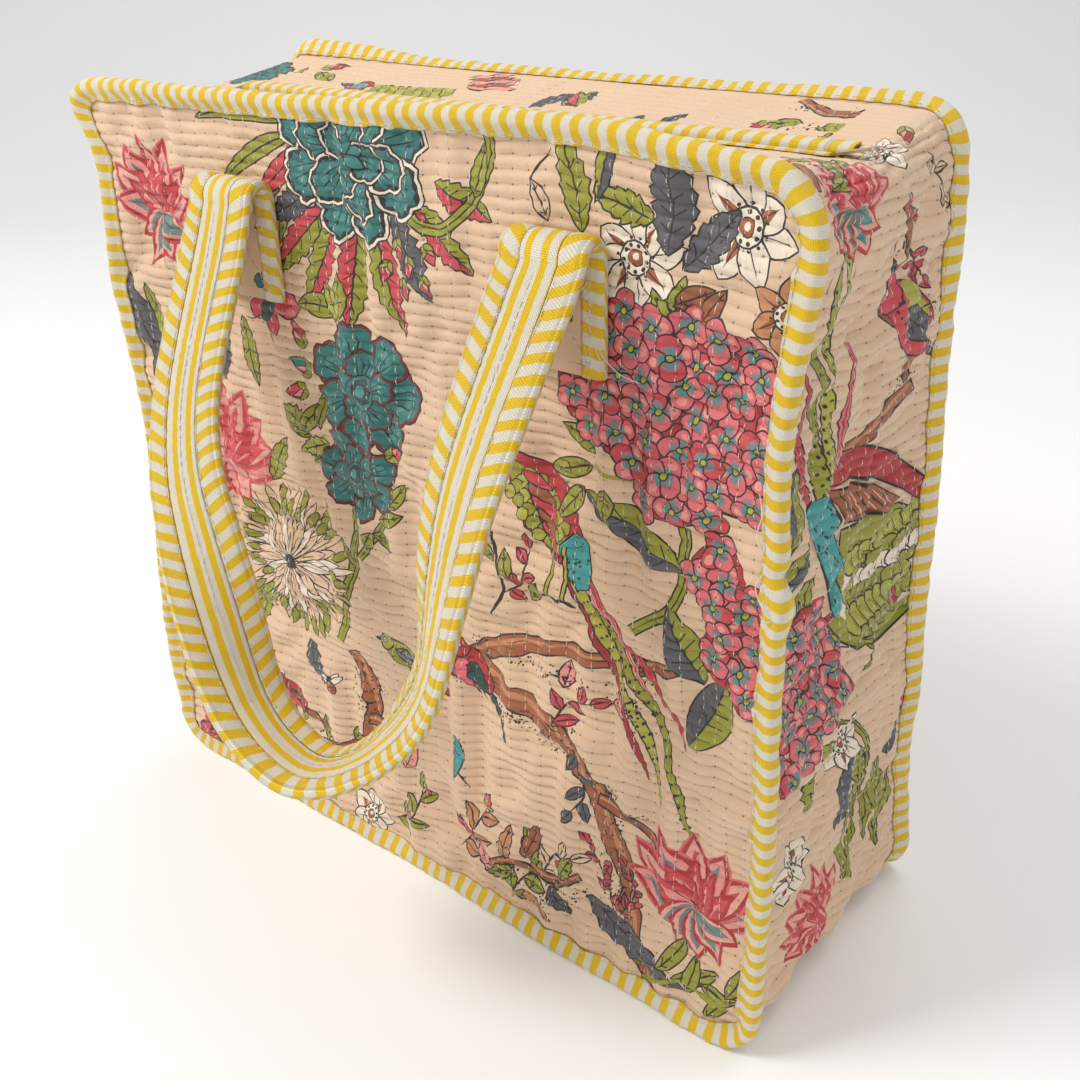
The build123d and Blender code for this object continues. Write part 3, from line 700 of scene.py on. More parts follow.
# ------------------------------------------------------------------ where the motifs sit: x, z on the panels
def print_front():
    c = Cloth(11)
    c.at(0, 0)
    c.leaf(-190, 300, -70, 74, 17, "grey", bend=0.3, veins=5); c.leaf(-178, 296, -66, 62, 9, "olive", bend=0.3, veins=3)
    c.leaf(-120, 296, -95, 40, 14, "grey", veins=4); c.leaf(-100, 292, -80, 34, 9, "olive", veins=3)
    c.at(-158, 334, 4, 1.0).lotus(42, "red", "blush", "tealgrey")
    c.at(0, 0)
    c.sprig([(-172, 238), (-165, 262), (-150, 276)], 5, 12, 6, "olivedk")
    # long leaves and the big teal flower
    for x, y, a, L, W in ((-52, 385, 182, 62, 7), (-48, 380, 205, 66, 7.5), (-46, 372, 222, 52, 6.5), (-44, 366, 236, 42, 6)):
        c.leaf(x, y, a, L, W, "olive", bend=0.5, veins=0)
    c.leaf(-46, 374, 214, 40, 10, "rose", veins=3)
    for x, y, a, L, W, k1, k2 in ((-34, 352, 222, 52, 15, "olive", "rose"), (-30, 348, 244, 50, 14, "rose", "olive"), (-18, 345, 262, 47, 15, "olive", "rose"),
                                  (-4, 348, 284, 50, 14, "rose", "olive"), (6, 352, 302, 40, 15, "grey", "grey"), (20, 356, 320, 38, 14, "olive", "rose"),
                                  (-44, 356, 206, 30, 13, "grey", "grey"), (30, 366, 338, 32, 12, "olive", "rose")):
        c.leaf(x, y, a, L, W, k1, k2, teeth=7, veins=5)
    c.stem([(14, 355), (24, 348), (38, 350), (52, 364), (60, 378), (58, 392)], 4.2)
    c.leaf(50, 362, 70, 22, 8, "olive", veins=2)
    for x, y, a in ((8, 342, -70), (17, 336, -96), (3, 332, -110), (24, 341, -50), (12, 326, -84), (25, 329, -70)):
        c.bud(x, y, a, 9.5)
    c.line([(14, 356), (16, 344), (12, 326)], 0.8)
    c.at(-16, 374, 8).peony(41, "teal", "white", 12, 0.72, 8)
    # flying insect, leaves and the two rose heads
    c.at(-80, 300, -30, 1.25).moth()
    c.at(-33, 303, 0).leaf(0, 0, 175, 26, 11, "olive", bend=0.8, veins=3); c.leaf(0, -2, 80, 22, 10, "olive", bend=0.5, veins=3)
    c.leaf(2, -4, 118, 20, 8, "olivelt", veins=3)
    c.line([(-1, -2), (4, -14), (10, -22)], 1.5)
    c.at(0, 0)
    c.stem([(-22, 240), (-34, 216), (-38, 190), (-44, 160), (-52, 126)], 4.4)
    c.stem([(-36, 178), (-24, 192), (-12, 206)], 3.2); c.stem([(-40, 172), (-54, 190)], 2.6)
    for x, y, a, L in ((-16, 206, 20, 16), (-22, 196, -20, 14), (-54, 190, 110, 15), (-30, 186, 60, 12), (-62, 238, 150, 16), (-50, 232, 210, 14), (-8, 214, 60, 14)):
        c.leaf(x, y, a, L, 7.5, "olive", veins=3)
    c.leaf(-58, 244, 160, 22, 12, "olive", teeth=5, veins=3); c.leaf(-52, 236, 200, 18, 10, "olivelt", teeth=5, veins=3)
    c.at(-30, 226, 0).rose(24, 20)
    c.at(-20, 269, 0).rose(32, 0)
    c.at(0, 0)
    for x, y, a, L, k in ((-54, 272, 160, 15, "teal2"), (-60, 262, 190, 13, "rose"), (-10, 238, 30, 12, "rose"), (-57, 284, 120, 14, "rose")):
        c.bud(x, y, a, L, k)
    c.leaf(-52, 256, 230, 20, 8, "olive", veins=3); c.leaf(-50, 262, 260, 18, 7, "olive", veins=2)
    # half lotus and the spiky flower behind the left handle
    c.at(-128, 214, -24).lotus(44, "rose", "blush", "pinklt")
    c.at(0, 0)
    c.leaf(-98, 206, 60, 30, 12, "olive", teeth=5, veins=3); c.leaf(-112, 140, -100, 34, 11, "olive", teeth=5, veins=4); c.leaf(-78, 116, -70, 28, 10, "grey", teeth=5, veins=3)
    c.at(-85, 163, 10).chrys(43)
    # ground: branches on the left
    c.at(0, 0)
    c.branch([(-44, 122), (-36, 104), (-32, 86), (-40, 66), (-62, 52), (-92, 50)], 9, 4)
    c.branch([(-34, 84), (-16, 84), (-2, 96)], 5, 2.5)
    for x, y, a, L in ((-52, 60, 60, 13), (-70, 54, 100, 14), (-84, 48, -60, 12), (-44, 70, -20, 14)):
        c.leaf(x, y, a, L, 6, "olive", veins=2)
    c.at(-10, 132, 12, 0.82).smallbird("olivelt", "greylt", "olive")
    c.at(-62, 94, 20, 1.2).bee()
    c.at(0, 0)
    c.bud(-88, 60, 100, 14, "red"); c.bud(-98, 56, 130, 11, "rose")
    c.at(-112, 88, 60, 0.8).daisy(17, 6)
    c.at(0, 0)
    c.leaf(-140, 110, 80, 36, 12, "grey", "olive", veins=4); c.leaf(-160, 60, 50, 34, 12, "olive", "grey", veins=4)
    c.sprig([(-180, 130), (-170, 152), (-172, 176)], 6, 12, 6, "olive", bud=10)
    c.at(-160, 20, 20).peony(25, "rose", "reddk", 0, 0.8, 6)
    c.at(0, 0)
    c.sprig([(-120, 22), (-96, 16), (-70, 26)], 5, 13, 6, "olive", bud=11)
    c.at(-40, 18, 0).daisy(15, 7)
    c.at(0, 0)
    c.sprig([(-24, 22), (-6, 34), (-2, 52)], 5, 12, 6, "olive", berries=3)
    # the long-tailed bird on its branch
    c.branch([(26, 140), (52, 158), (88, 171), (126, 176), (172, 196)], 9.5, 4.5)
    c.branch([(28, 146), (54, 138), (86, 128), (112, 100), (128, 66), (136, 30), (146, 4)], 15, 6)
    c.branch([(112, 100), (134, 96), (160, 80)], 4.5, 2, knots=False)
    c.sprig([(86, 130), (94, 144), (108, 150)], 4, 10, 5, "rose")
    c.sprig([(96, 120), (104, 100), (98, 88)], 4, 10, 5, "grey")
    for x, y, a in ((66, 198, 110), (56, 206, 140), (74, 190, 60), (118, 152, 20), (92, 152, 75)):
        c.leaf(x, y, a, 15, 7, "pinklt" if y < 160 else "olive", veins=2)
    c.line([(52, 176), (60, 192), (56, 214), (50, 226)], 1.2); c.sprig([(60, 190), (72, 200), (74, 216)], 4, 8, 4, "rose")
    c.at(98, 222, 0, 1.22).longbird(((0, 0), (14, -26), (30, -48), (42, -74), (47, -98)))
    c.at(38, 140, -12, 1.05).smallbird("red", "tealdk", "pink")
    # hydrangea heads and their leaves
    c.at(0, 0)
    c.stem([(150, 262), (156, 240), (150, 214), (132, 198)], 4.2)
    c.stem([(170, 214), (168, 200), (150, 190)], 3.4)
    c.leaf(156, 233, 160.6, 54, 17, "grey", "olive", bend=-0.12, veins=5)
    c.leaf(164, 182, 116, 36, 16.5, "grey", "olive", bend=0.08, veins=5)
    c.leaf(160, 152, 66, 44, 19, "grey", "olive", bend=0.3, veins=5)
    c.leaf(176, 206, 20, 22, 11, "olive", veins=3)
    for x, y, a, L in ((108, 262, 196, 24), (112, 270, 150, 18), (104, 252, 232, 20), (118, 256, 260, 15), (110, 276, 120, 14)):
        c.leaf(x, y, a, L, 8.5, "olive", veins=3)
    c.line([(110, 264), (128, 262), (140, 262)], 2.2, "olive", taper=False)
    c.at(128, 351, 15).daisy(20, 8, "white", "brown")
    c.at(172, 372, -10).daisy(21, 7, "white", "brown")
    c.at(192, 346, 30).daisy(16, 6, "brownlt", "brown")
    c.at(0, 0)
    c.leaf(142, 356, 92, 40, 17, "grey", teeth=7, veins=5); c.leaf(148, 352, 50, 32, 14, "grey", teeth=6, veins=4)
    c.leaf(104, 356, 104, 38, 13, "olive", teeth=6, veins=4); c.leaf(134, 366, 170, 26, 12, "olive", teeth=6, veins=4)
    c.leaf(166, 386, 60, 22, 11, "olive", teeth=5, veins=3); c.leaf(144, 324, 78, 26, 10, "olive", teeth=5, veins=3); c.leaf(150, 322, 124, 24, 9, "olive", teeth=5, veins=3)
    c.line([(86, 360), (80, 372), (90, 384)], 0.7); c.leaf(88, 358, 120, 16, 7, "ground", veins=2)
    c.leaf(84, 388, 150, 20, 7, "olivedk", veins=0); c.leaf(118, 392, 250, 26, 7, "grey", "olive", veins=2); c.leaf(146, 338, 30, 18, 9, "brown", veins=2); c.leaf(158, 334, 60, 16, 8, "brown", veins=2)
    c.hydrangea([(134, 300, 38), (112, 296, 22), (158, 304, 34), (176, 284, 26), (150, 272, 25), (180, 310, 22)], 8.2)
    c.hydrangea([(172, 236, 16), (180, 222, 19), (178, 202, 17), (190, 190, 15)], 8.0)
    c.at(0, 0)
    c.sprig([(124, 44), (118, 62), (108, 72)], 4, 8, 4, "rose", berries=8); c.sprig([(126, 40), (134, 58), (128, 70)], 4, 7, 3, "rose", berries=6)
    c.line([(30, 100), (26, 86), (34, 70)], 0.8)
    c.leaf(27, 100, -95, 26, 10, "aqua", veins=5)
    c.sprig([(26, 30), (36, 44), (44, 62)], 5, 13, 6, "brownlt", bud=14); c.sprig([(60, 14), (70, 34), (90, 44)], 5, 12, 6, "olive"); c.sprig([(78, 36), (86, 54), (98, 60)], 4, 11, 5, "ground", berries=2)
    c.leaf(40, 40, 150, 20, 9, "rose", veins=3); c.leaf(66, 24, -20, 22, 9, "brownlt", veins=3)
    # brushwood and its speckled ground, low in the middle
    c.branch([(46, 30), (64, 40), (84, 38), (102, 50)], 6, 3)
    for x, y, a, L, k in ((76, 44, 112, 20, "olive"), (58, 40, 84, 20, "brownlt"), (90, 44, 64, 18, "olive"), (62, 34, 204, 18, "olive"), (70, 46, 74, 22, "brown"), (84, 34, -40, 16, "grey"), (50, 30, 140, 16, "pinklt")):
        c.leaf(x, y, a, L, 8.5, k, teeth=4, veins=3)
    c.dots(70, 30, 30, 7, 90, 0.5); c.dots(96, 42, 12, 8, 40, 0.5)
    c.dots(108, 158, 44, 5, 90, 0.55); c.dots(92, 118, 18, 7, 60, 0.5); c.dots(122, 66, 9, 30, 90, 0.5); c.dots(66, 126, 20, 5, 50, 0.5)
    c.dots(-62, 46, 34, 6, 90, 0.5); c.dots(-40, 96, 9, 20, 50, 0.5)
    c.at(-96, 72, 14, 0.95).smallbird("red", "brown", "rose")
    c.at(0, 0)
    c.leaf(-12, 62, 64, 20, 9, "pinklt", veins=3); c.leaf(8, 118, 120, 18, 8, "olive", veins=3); c.sprig([(0, 106), (14, 118), (18, 134)], 4, 9, 4, "rose", berries=5)
    c.at(166, 66, 6).lotus(44, "red", "blush", "tealgrey")
    c.at(0, 0)
    c.leaf(106, 40, -22, 62, 16, "grey", teeth=7, veins=6)
    for x, y, a, L in ((150, 26, 60, 26), (158, 24, 30, 26), (164, 18, 80, 22), (176, 12, 60, 18), (172, 26, 10, 20), (186, 30, 70, 20)):
        c.leaf(x, y, a, L, 7.5, "olive", bend=0.5, veins=2)
    c.line([(140, 10), (160, 22), (186, 20)], 2.4, "olive", taper=False)
    return c.items


def print_back():
    c = Cloth(23)
    c.at(0, 0)
    c.branch([(-197, 60), (-150, 78), (-100, 74), (-58, 96), (-30, 130)], 14, 7)
    c.branch([(-96, 76), (-70, 50), (-30, 40)], 7, 3)
    c.branch([(197, 250), (160, 236), (120, 240), (84, 216)], 11, 5)
    c.stem([(-30, 130), (-16, 160), (-22, 196)], 4.2); c.stem([(96, 30), (104, 70), (96, 104)], 4.2); c.stem([(30, 392), (28, 360), (10, 336)], 4.0)
    for x, y, a, L, k in ((-150, 82, 70, 30, "olive"), (-120, 78, 120, 26, "grey"), (-60, 98, 40, 30, "olive"), (-36, 132, 150, 34, "grey"), (-18, 168, 20, 30, "olive"),
                          (104, 66, 20, 34, "olive"), (98, 82, 160, 34, "grey"), (120, 240, 80, 28, "olive"), (150, 238, 110, 26, "olive"), (26, 356, -20, 30, "olive"), (-170, 320, 40, 30, "olive")):
        c.leaf(x, y, a, L, 14, k, "olive" if k == "grey" else None, teeth=0 if k == "grey" else 6, veins=4)
    c.at(-110, 330, 20).peony(42, "teal", "white", 0, 0.85, 8)
    c.at(0, 330, 0).rose(34, 0)
    c.at(-22, 208, 0).lotus(40)
    c.at(0, 0).hydrangea([(130, 320, 34), (156, 306, 24), (108, 300, 22), (136, 286, 22)], 8.4)
    c.at(96, 124, 0).chrys(38)
    c.at(-80, 214, 0, 1.15, True).longbird(((0, 0), (12, -24), (24, -46), (32, -80), (30, -104)))
    c.at(64, 228, 10, 1.0).smallbird("red", "tealdk", "pink")
    c.at(20, 92, 0, 1.2).moth()
    c.at(-150, 240, 20).daisy(22, 8, "white", "brown"); c.at(40, 30, 0).daisy(19, 7); c.at(170, 150, 0).rose(26, 0)
    c.at(-152, 160, 0).rose(27, 30); c.at(-110, 24, 0, 1.0).lotus(27); c.at(160, 52, 20).lotus(30)
    c.at(0, 0)
    for p in ([(-190, 200), (-176, 220), (-178, 250)], [(20, 150), (36, 166), (40, 190)], [(60, 300), (50, 280), (60, 262)], [(-60, 270), (-44, 280), (-30, 300)], [(-20, 12), (-6, 30), (-10, 52)], [(150, 90), (168, 98), (184, 92)], [(-70, 10), (-60, 28), (-40, 24)], [(176, 372), (160, 364), (150, 378)]):
        c.sprig(p, 5, 13, 6, "olive", berries=2, bud=11)
    for x, y in ((-30, 260), (60, 60), (-10, 120), (176, 200)):
        c.at(x, y, 30, 1.2).bee()
    return c.items


def band_point(k, y):
    return (k, y)


def print_band(total, side_right, side_left, top0, top1, zmid):
    """s along the band, y across. side_right(z) gives s for a height on the right side, side_left(z) on the left."""
    c = Cloth(37)
    R, L = side_right, side_left

    def onside(f, up):
        # motifs are drawn with z up: local frame x -> y across, z -> s
        def at(y, z, ang=0.0, s=1.0, flip=False):
            a = math.radians(ang)
            rot = np.array([[math.cos(a), -math.sin(a)], [math.sin(a), math.cos(a)]]) * s
            if flip:
                rot = rot @ np.diag([-1, 1])
            c.M = np.array([[0, up], [1, 0]]) @ rot
            c.T = np.array([f(z), y], float)
            return c
        return at
    for f, up, mir in ((R, 1, 1), (L, -1, -1)):
        at = onside(f, up)
        at(0, 190)
        c.branch([(6 * mir, 178), (16 * mir, 158), (8 * mir, 140), (30 * mir, 122), (36 * mir, 100)], 9, 6)
        c.branch([(-14 * mir, 82), (12 * mir, 92), (40 * mir, 96)], 8, 4)
        for p, q in (((-50 * mir, 22), 60), ((-44 * mir, 10), 100), ((-20 * mir, 30), 40), ((-56 * mir, 4), 80)):
            c.leaf(p[0], p[1], q, 22, 9, "olive", veins=3)
        c.leaf(-60 * mir, 58, 80, 34, 14, "grey", "olive", veins=4)
        c.leaf(-60 * mir, 36, 60, 26, 13, "olive", "grey", veins=4)
        c.stem([(10 * mir, -150), (24 * mir, -110), (20 * mir, -70), (-4 * mir, -52)], 3.4)
        for x, z, a, L_ in ((16, -128, 80, 44), (24, -124, 62, 40), (30, -140, 70, 50), (8, -150, 96, 46), (40, -150, 58, 40), (20, -100, 100, 26)):
            c.leaf(x * mir, z, a if mir > 0 else 180 - a, L_, 7.5, "olive", bend=0.3, veins=2)
        c.leaf(54 * mir, -104, 92, 30, 12, "grey", veins=3); c.leaf(50 * mir, -112, 250, 22, 10, "olive", veins=2)
        c.leaf(-12 * mir, -56, 200, 24, 11, "olive", teeth=5, veins=3); c.leaf(-30 * mir, -62, 250, 20, 11, "olive", teeth=5, veins=3)
        c.sprig([(16 * mir, -40), (26 * mir, -16), (30 * mir, 8)], 4, 7, 3.4, "olive", bud=7)
        c.leaf(10 * mir, -74, 250, 40, 13, "grey", veins=4)
        c.hydrangea([(-38 * mir, -14, 32), (-46 * mir, 10, 23), (-48 * mir, -38, 25), (-20 * mir, -30, 21), (-20 * mir, 2, 18)], 8.2)
        at(4 * mir, 122, 10).daisy(15, 7, "white", "brown")
        at(-44 * mir, 82, 0).daisy(17, 7, "white", "brown")
        at(60 * mir, 108, 0, 0.9).bud(0, 0, 70, 14)
        at(-26 * mir, 238, 0, 1.0)
        at(0, 0).sidebird(mir)
        at(30 * mir, 318, 105 * mir, 1.75, mir > 0).smallbird("rose", "grey", "olivelt")
        at(-34 * mir, 372, 0).lotus(34)
        at(-22 * mir, 36, 0).lotus(34, "red", "blush", "rose")
        at(0, 0)
        c.sprig([(12 * mir, 372), (22 * mir, 350), (40 * mir, 332)], 5, 8, 4, "rose", berries=7)
        c.sprig([(40 * mir, 380), (52 * mir, 366), (58 * mir, 350)], 4, 9, 4, "ground", berries=1)
        at(46 * mir, 172, 0).bud(0, 0, 60, 12, "red")
    # bottom
    c.at(0, 0)
    for k, x in enumerate(np.linspace(-150, 150, 6)):
        s = x if x >= 0 else total + x
        c.at(s, -26 + 52 * (k % 2), k * 40)
        (c.rose(22) if k % 3 == 0 else c.daisy(17, 7) if k % 3 == 1 else c.lotus(24))
        c.at(s + 4, 26 - 52 * (k % 2), k * 40).sprig([(0, -16), (6, 0), (2, 16)], 5, 12, 6, "olive", bud=10)
    # top ends, x from the middle
    def top(x, y, ang=0.0, s=1.0, flip=False):
        return c.at((top0 + top1) / 2 - x, y, ang + 180, s, flip)
    top(184, 40).bud(0, 0, 40, 14, "red"); top(190, 12).daisy(15, 6, "white", "brown"); top(178, -30).sprig([(0, -14), (4, 0), (0, 14)], 4, 12, 6, "olive", bud=9)
    c.M = -np.eye(2); c.T = np.array([(top0 + top1) / 2, 0.0])
    c.dots(186, 50, 12, 10, 26, 0.6); c.dots(188, -8, 10, 9, 24, 0.6)
    c.branch([(150, 60), (178, 56), (196, 62)], 9, 6)
    c.leaf(182, 30, 30, 20, 11, "olive", veins=3); c.leaf(196, 30, 80, 18, 9, "olive", veins=3); c.leaf(176, 4, 200, 20, 9, "olive", veins=3)
    c.at((top0 + top1) / 2 + 184, 30).rose(20); c.at((top0 + top1) / 2 + 184, -34).lotus(22)
    return c.items


def print_top():
    """x along, y across, seen from above."""
    c = Cloth(51)
    c.at(0, 0)
    c.branch([(172, 54), (150, 46), (128, 60)], 9, 4); c.dots(146, 30, 18, 7, 34, 0.6); c.dots(128, -20, 16, 8, 30, 0.6)
    c.leaf(140, 36, 200, 22, 10, "olive", veins=3); c.leaf(150, 28, 20, 18, 9, "olive", veins=3); c.bud(132, 30, 200, 12, "red"); c.bud(156, 18, 20, 10, "red")
    c.leaf(24, 24, 80, 22, 10, "olive", "grey", veins=3); c.leaf(30, 26, 120, 20, 9, "rose", "olive", veins=3); c.leaf(18, 40, 250, 24, 9, "grey", veins=3)
    c.leaf(70, 22, 250, 18, 5, "olive", "grey", veins=0); c.leaf(88, 28, 240, 20, 5, "grey", veins=0)
    c.leaf(-24, 54, 250, 22, 8, "pinklt", veins=2)
    for k in range(9):
        for r in range(3):
            c.disc(-92 + k * 5.6 + (r % 2) * 2.8, 18 + r * 5.0, 3.5, "olive" if (k + r) % 2 else "olivelt", 0.4, n=10)
    for k in range(5):
        c.drop(-40 - 3 * k, 34 + 4 * k, 10 + 5 * k, 26, 5, "brown" if k % 2 else "pinklt", 0.42)
    c.disc(-104, 26, 7, "red", 0.5); c.disc(-105, 27, 5, "aqua", 0); c.drop(-110, 27, 170, 9, 4, "grey", 0.4)
    c.bud(-150, 46, 20, 16, "red"); c.bud(-160, 34, 100, 13, "rose"); c.leaf(-146, 40, -30, 20, 9, "olive", veins=3)
    c.at(-140, -36, 0).rose(22); c.at(-60, -40, 0).daisy(16, 7, "white", "brown"); c.at(20, -36, 20).lotus(24); c.at(100, -40, 0).rose(20)
    c.at(0, 0)
    c.sprig([(-100, -54), (-90, -36), (-96, -18)], 4, 12, 6, "olive", bud=10); c.sprig([(58, -56), (66, -36), (60, -18)], 4, 12, 6, "olive", bud=10); c.sprig([(-30, -20), (-12, -28), (0, -20)], 4, 11, 5, "olive")
    return c.items
# ------------------------------------------------------------------ how the sewn seams wander from the flat pattern
def tab(pts):
    p = np.array(sorted(pts), float)
    return p[:, 0], p[:, 1]


SEAM = {
    "FR": tab([(0, 2), (30, 1.8), (70, 1.2), (107, .4), (142, -.5), (174, -2.3), (206, -3.1), (220, -3.8), (249, -4.5), (274, -6.1), (299, -7), (323, -4.8), (346, -1.8), (368, 1.2), (392, 0)]),
    "FL": tab([(0, -3), (24, -4.1), (56, -6.2), (79, -6.4), (130, -1), (180, 6), (228, 10.7), (263, 7.1), (281, 5.1), (297, 2.9), (314, 5.8), (331, 7.3), (347, 8.6), (367, 7.5), (378, -2), (392, -5)]),
    "FT": tab([(-196, -.8), (-142, .2), (-101, .4), (-55, .8), (-16, 2.2), (20, 2.8), (52, 4.1), (93, 4.9), (122, 3.7), (148, .1), (173, -1.3), (196, -4.4)]),
    "FB": tab([(-196, .5), (-120, .2), (-60, 1.0), (0, .3), (60, 1.3), (110, .4), (150, 1.2), (196, .2)]),
    "FY": tab([(-199, 0), (-67, 2.5), (6, 2.7), (50, 5.8), (90, 7.6), (130, 7), (168, 10), (190, 8.5), (200, 7)]),
    "BR": tab([(0, 7), (11, 7), (48, 3), (72, .2), (95, .5), (114, 1.5), (152, -.9), (188, -1.5), (220, -2.4), (251, -4), (281, -5.2), (309, -6.4), (337, -6.5), (363, -7.3), (375, -9), (392, -8)]),
    "BL": tab([(0, -3), (60, -2), (120, 2), (180, 4), (240, 1), (300, 5), (350, 4), (380, -1), (392, -3)]),
    "BT": tab([(-196, 3.0), (-151, 2.2), (-130, 0), (-110, -1.8), (-90, -2.6), (-37, -3), (27, -3), (95, -2.2), (126, -1.2), (154, -.8), (196, -2)]),
    "BB": tab([(-196, .3), (-100, 1.1), (-20, .2), (70, 1.2), (140, .4), (196, .8)]),
    "BY": tab([(-199, 2), (-100, 5), (0, 3), (80, 6), (150, 4), (200, 2)]),
}


def seam(key, q):
    x, y = SEAM[key]
    return sum(np.interp(np.asarray(q, float) + o, x, y) for o in (-9, -3, 3, 9)) / 4


def field(p):
    """Moves points of the flat pattern (n,3) to where the sewn bag has them."""
    p = np.asarray(p, float)
    x, y, z = p[:, 0], p[:, 1], p[:, 2]
    tb = np.clip((y + 72) / 144, 0, 1)
    tz = np.clip((z - 6) / 384, 0, 1)
    out = p.copy()
    ox = np.zeros(len(p)); oz = np.zeros(len(p))
    for k, w in (("F", 1 - tb), ("B", tb)):
        side = np.where(x > 0, seam(k + "R", z), seam(k + "L", z))
        ox += w * side * (np.abs(x) / 195) ** 1.3
        top = smoothstep(60, 72, np.abs(y))
        oz += w * (seam(k + "T", x) * tz ** 1.4 * np.where(tz > 0.9, top * 0 + np.where(np.abs(y) < 71.5, top, 1), 1) + seam(k + "B", x) * (1 - tz) ** 2)
    bulge = np.where(y < 0, -seam("FY", x), seam("BY", x)) * (1 - tz) ** 2.2
    oy = bulge * smoothstep(20, 68, np.abs(y))
    out[:, 0] += ox; out[:, 1] += oy; out[:, 2] += oz
    # the pinched top left corner
    c = np.exp(-(((x + 197) / 16) ** 2 + ((z - 392) / 14) ** 2)) * (1 - tb)
    out[:, 0] -= 4.0 * c; out[:, 2] -= 1.5 * c
    # rounded top right corner
    c = np.exp(-(((x - 197) / 20) ** 2 + ((z - 392) / 18) ** 2)) * (1 - 0.4 * tb)
    out[:, 0] -= 1.5 * c; out[:, 2] -= 1.5 * c
    return out


# perimeter of the flat pattern: from the bottom centre, anticlockwise seen from the front (+x first)
CX, CZ = HW - CR, (Z1 - Z0) / 2 - CR
ZM = (Z0 + Z1) / 2
SEG = [CX, CR * math.pi / 2, 2 * CZ, CR * math.pi / 2, 2 * CX, CR * math.pi / 2, 2 * CZ, CR * math.pi / 2, CX]
CUM = np.concatenate([[0], np.cumsum(SEG)])
PER = CUM[-1]


def perim(s):
    """(x, z, nx, nz) of the outline at arc length s."""
    s = np.mod(np.asarray(s, float), PER)
    x, z, nx, nz = (np.zeros_like(s) for _ in range(4))
    k = np.clip(np.searchsorted(CUM, s, side="right") - 1, 0, 8)
    t = s - CUM[k]
    q = CR
    for seg, (f) in enumerate((
        lambda t: (t, 0 * t + Z0, 0 * t, 0 * t - 1),
        lambda t: (CX + q * np.sin(t / q), Z0 + q - q * np.cos(t / q), np.sin(t / q), -np.cos(t / q)),
        lambda t: (0 * t + HW, Z0 + q + t, 0 * t + 1, 0 * t),
        lambda t: (CX + q * np.cos(t / q), Z1 - q + q * np.sin(t / q), np.cos(t / q), np.sin(t / q)),
        lambda t: (CX - t, 0 * t + Z1, 0 * t, 0 * t + 1),
        lambda t: (-CX - q * np.sin(t / q), Z1 - q + q * np.cos(t / q), -np.sin(t / q), np.cos(t / q)),
        lambda t: (0 * t - HW, Z1 - q - t, 0 * t - 1, 0 * t),
        lambda t: (-CX - q * np.cos(t / q), Z0 + q - q * np.sin(t / q), -np.cos(t / q), -np.sin(t / q)),
        lambda t: (-CX + t, 0 * t + Z0, 0 * t, 0 * t - 1),
    )):
        m = k == seg
        if m.any():
            a, b, c, d = f(t[m])
            x[m], z[m], nx[m], nz[m] = a, b, c, d
    return x, z, nx, nz


S_TOP0, S_TOP1 = CUM[4], CUM[5]
S_TOPM = (S_TOP0 + S_TOP1) / 2


def s_right(z):
    return CUM[2] + (z - Z0 - CR)


def s_left(z):
    return CUM[6] + (Z1 - CR - z)


# ------------------------------------------------------------------ soft sag, from a cloth simulation
def drape(name, nu, nv, lu, lv, push, seed, grow=0.006, frames=26):
    """A quilted sheet lu by lv mm sewn down on its four edges, a little larger than its frame. Returns its bulge (nu, nv), mm, at most 8."""
    u = np.linspace(-lu / 2, lu / 2, nu); v = np.linspace(0, lv, nv)
    U, Vv = np.meshgrid(u, v, indexing="ij")
    ed = np.minimum.reduce([U + lu / 2, lu / 2 - U, Vv, lv - Vv])
    start = push * smoothstep(0, 60, ed) + 1.6 * noise(U / 60, Vv / 60, seed) * smoothstep(0, 40, ed) + 0.9 * noise(U / 26, Vv / 40, seed + 5) * smoothstep(0, 30, ed)
    ob = new_mesh(name, np.stack([U.ravel(), start.ravel(), Vv.ravel()], 1), grid_faces(nu, nv), smooth=False)
    ob.data.transform(Matrix.Scale(10, 4))
    vg = ob.vertex_groups.new(name="sewn")
    edge = [i * nv + j for i in range(nu) for j in range(nv) if i in (0, nu - 1) or j in (0, nv - 1)]
    vg.add(edge, 1.0, "REPLACE")
    md = ob.modifiers.new("cloth", "CLOTH")
    cs = md.settings
    cs.quality = 6
    cs.mass = 0.35
    cs.tension_stiffness = 18; cs.compression_stiffness = 18; cs.shear_stiffness = 12; cs.bending_stiffness = 9
    cs.tension_damping = 12; cs.compression_damping = 12; cs.shear_damping = 12; cs.bending_damping = 6
    cs.air_damping = 4
    cs.vertex_group_mass = "sewn"
    cs.pin_stiffness = 1
    cs.shrink_min = -grow; cs.shrink_max = -grow
    cs.use_pressure = False
    cs.effector_weights.gravity = 0.35
    md.collision_settings.use_self_collision = False
    md.collision_settings.use_collision = False
    md.point_cache.frame_start = 1; md.point_cache.frame_end = frames
    sc = bpy.context.scene
    for f in range(1, frames + 1):
        sc.frame_set(f)
    dg = bpy.context.evaluated_depsgraph_get()
    ev = ob.evaluated_get(dg)
    co = np.zeros(len(ev.data.vertices) * 3, np.float32)
    ev.data.vertices.foreach_get("co", co)
    b = co.reshape(nu, nv, 3)[:, :, 1] / 10 * 1000
    sc.frame_set(1)
    bpy.data.objects.remove(ob)
    b = np.nan_to_num(b)
    k = 8.0 / max(8.0, float(np.abs(b).max()))
    return b * k * smoothstep(0, 14, ed) + 0.0


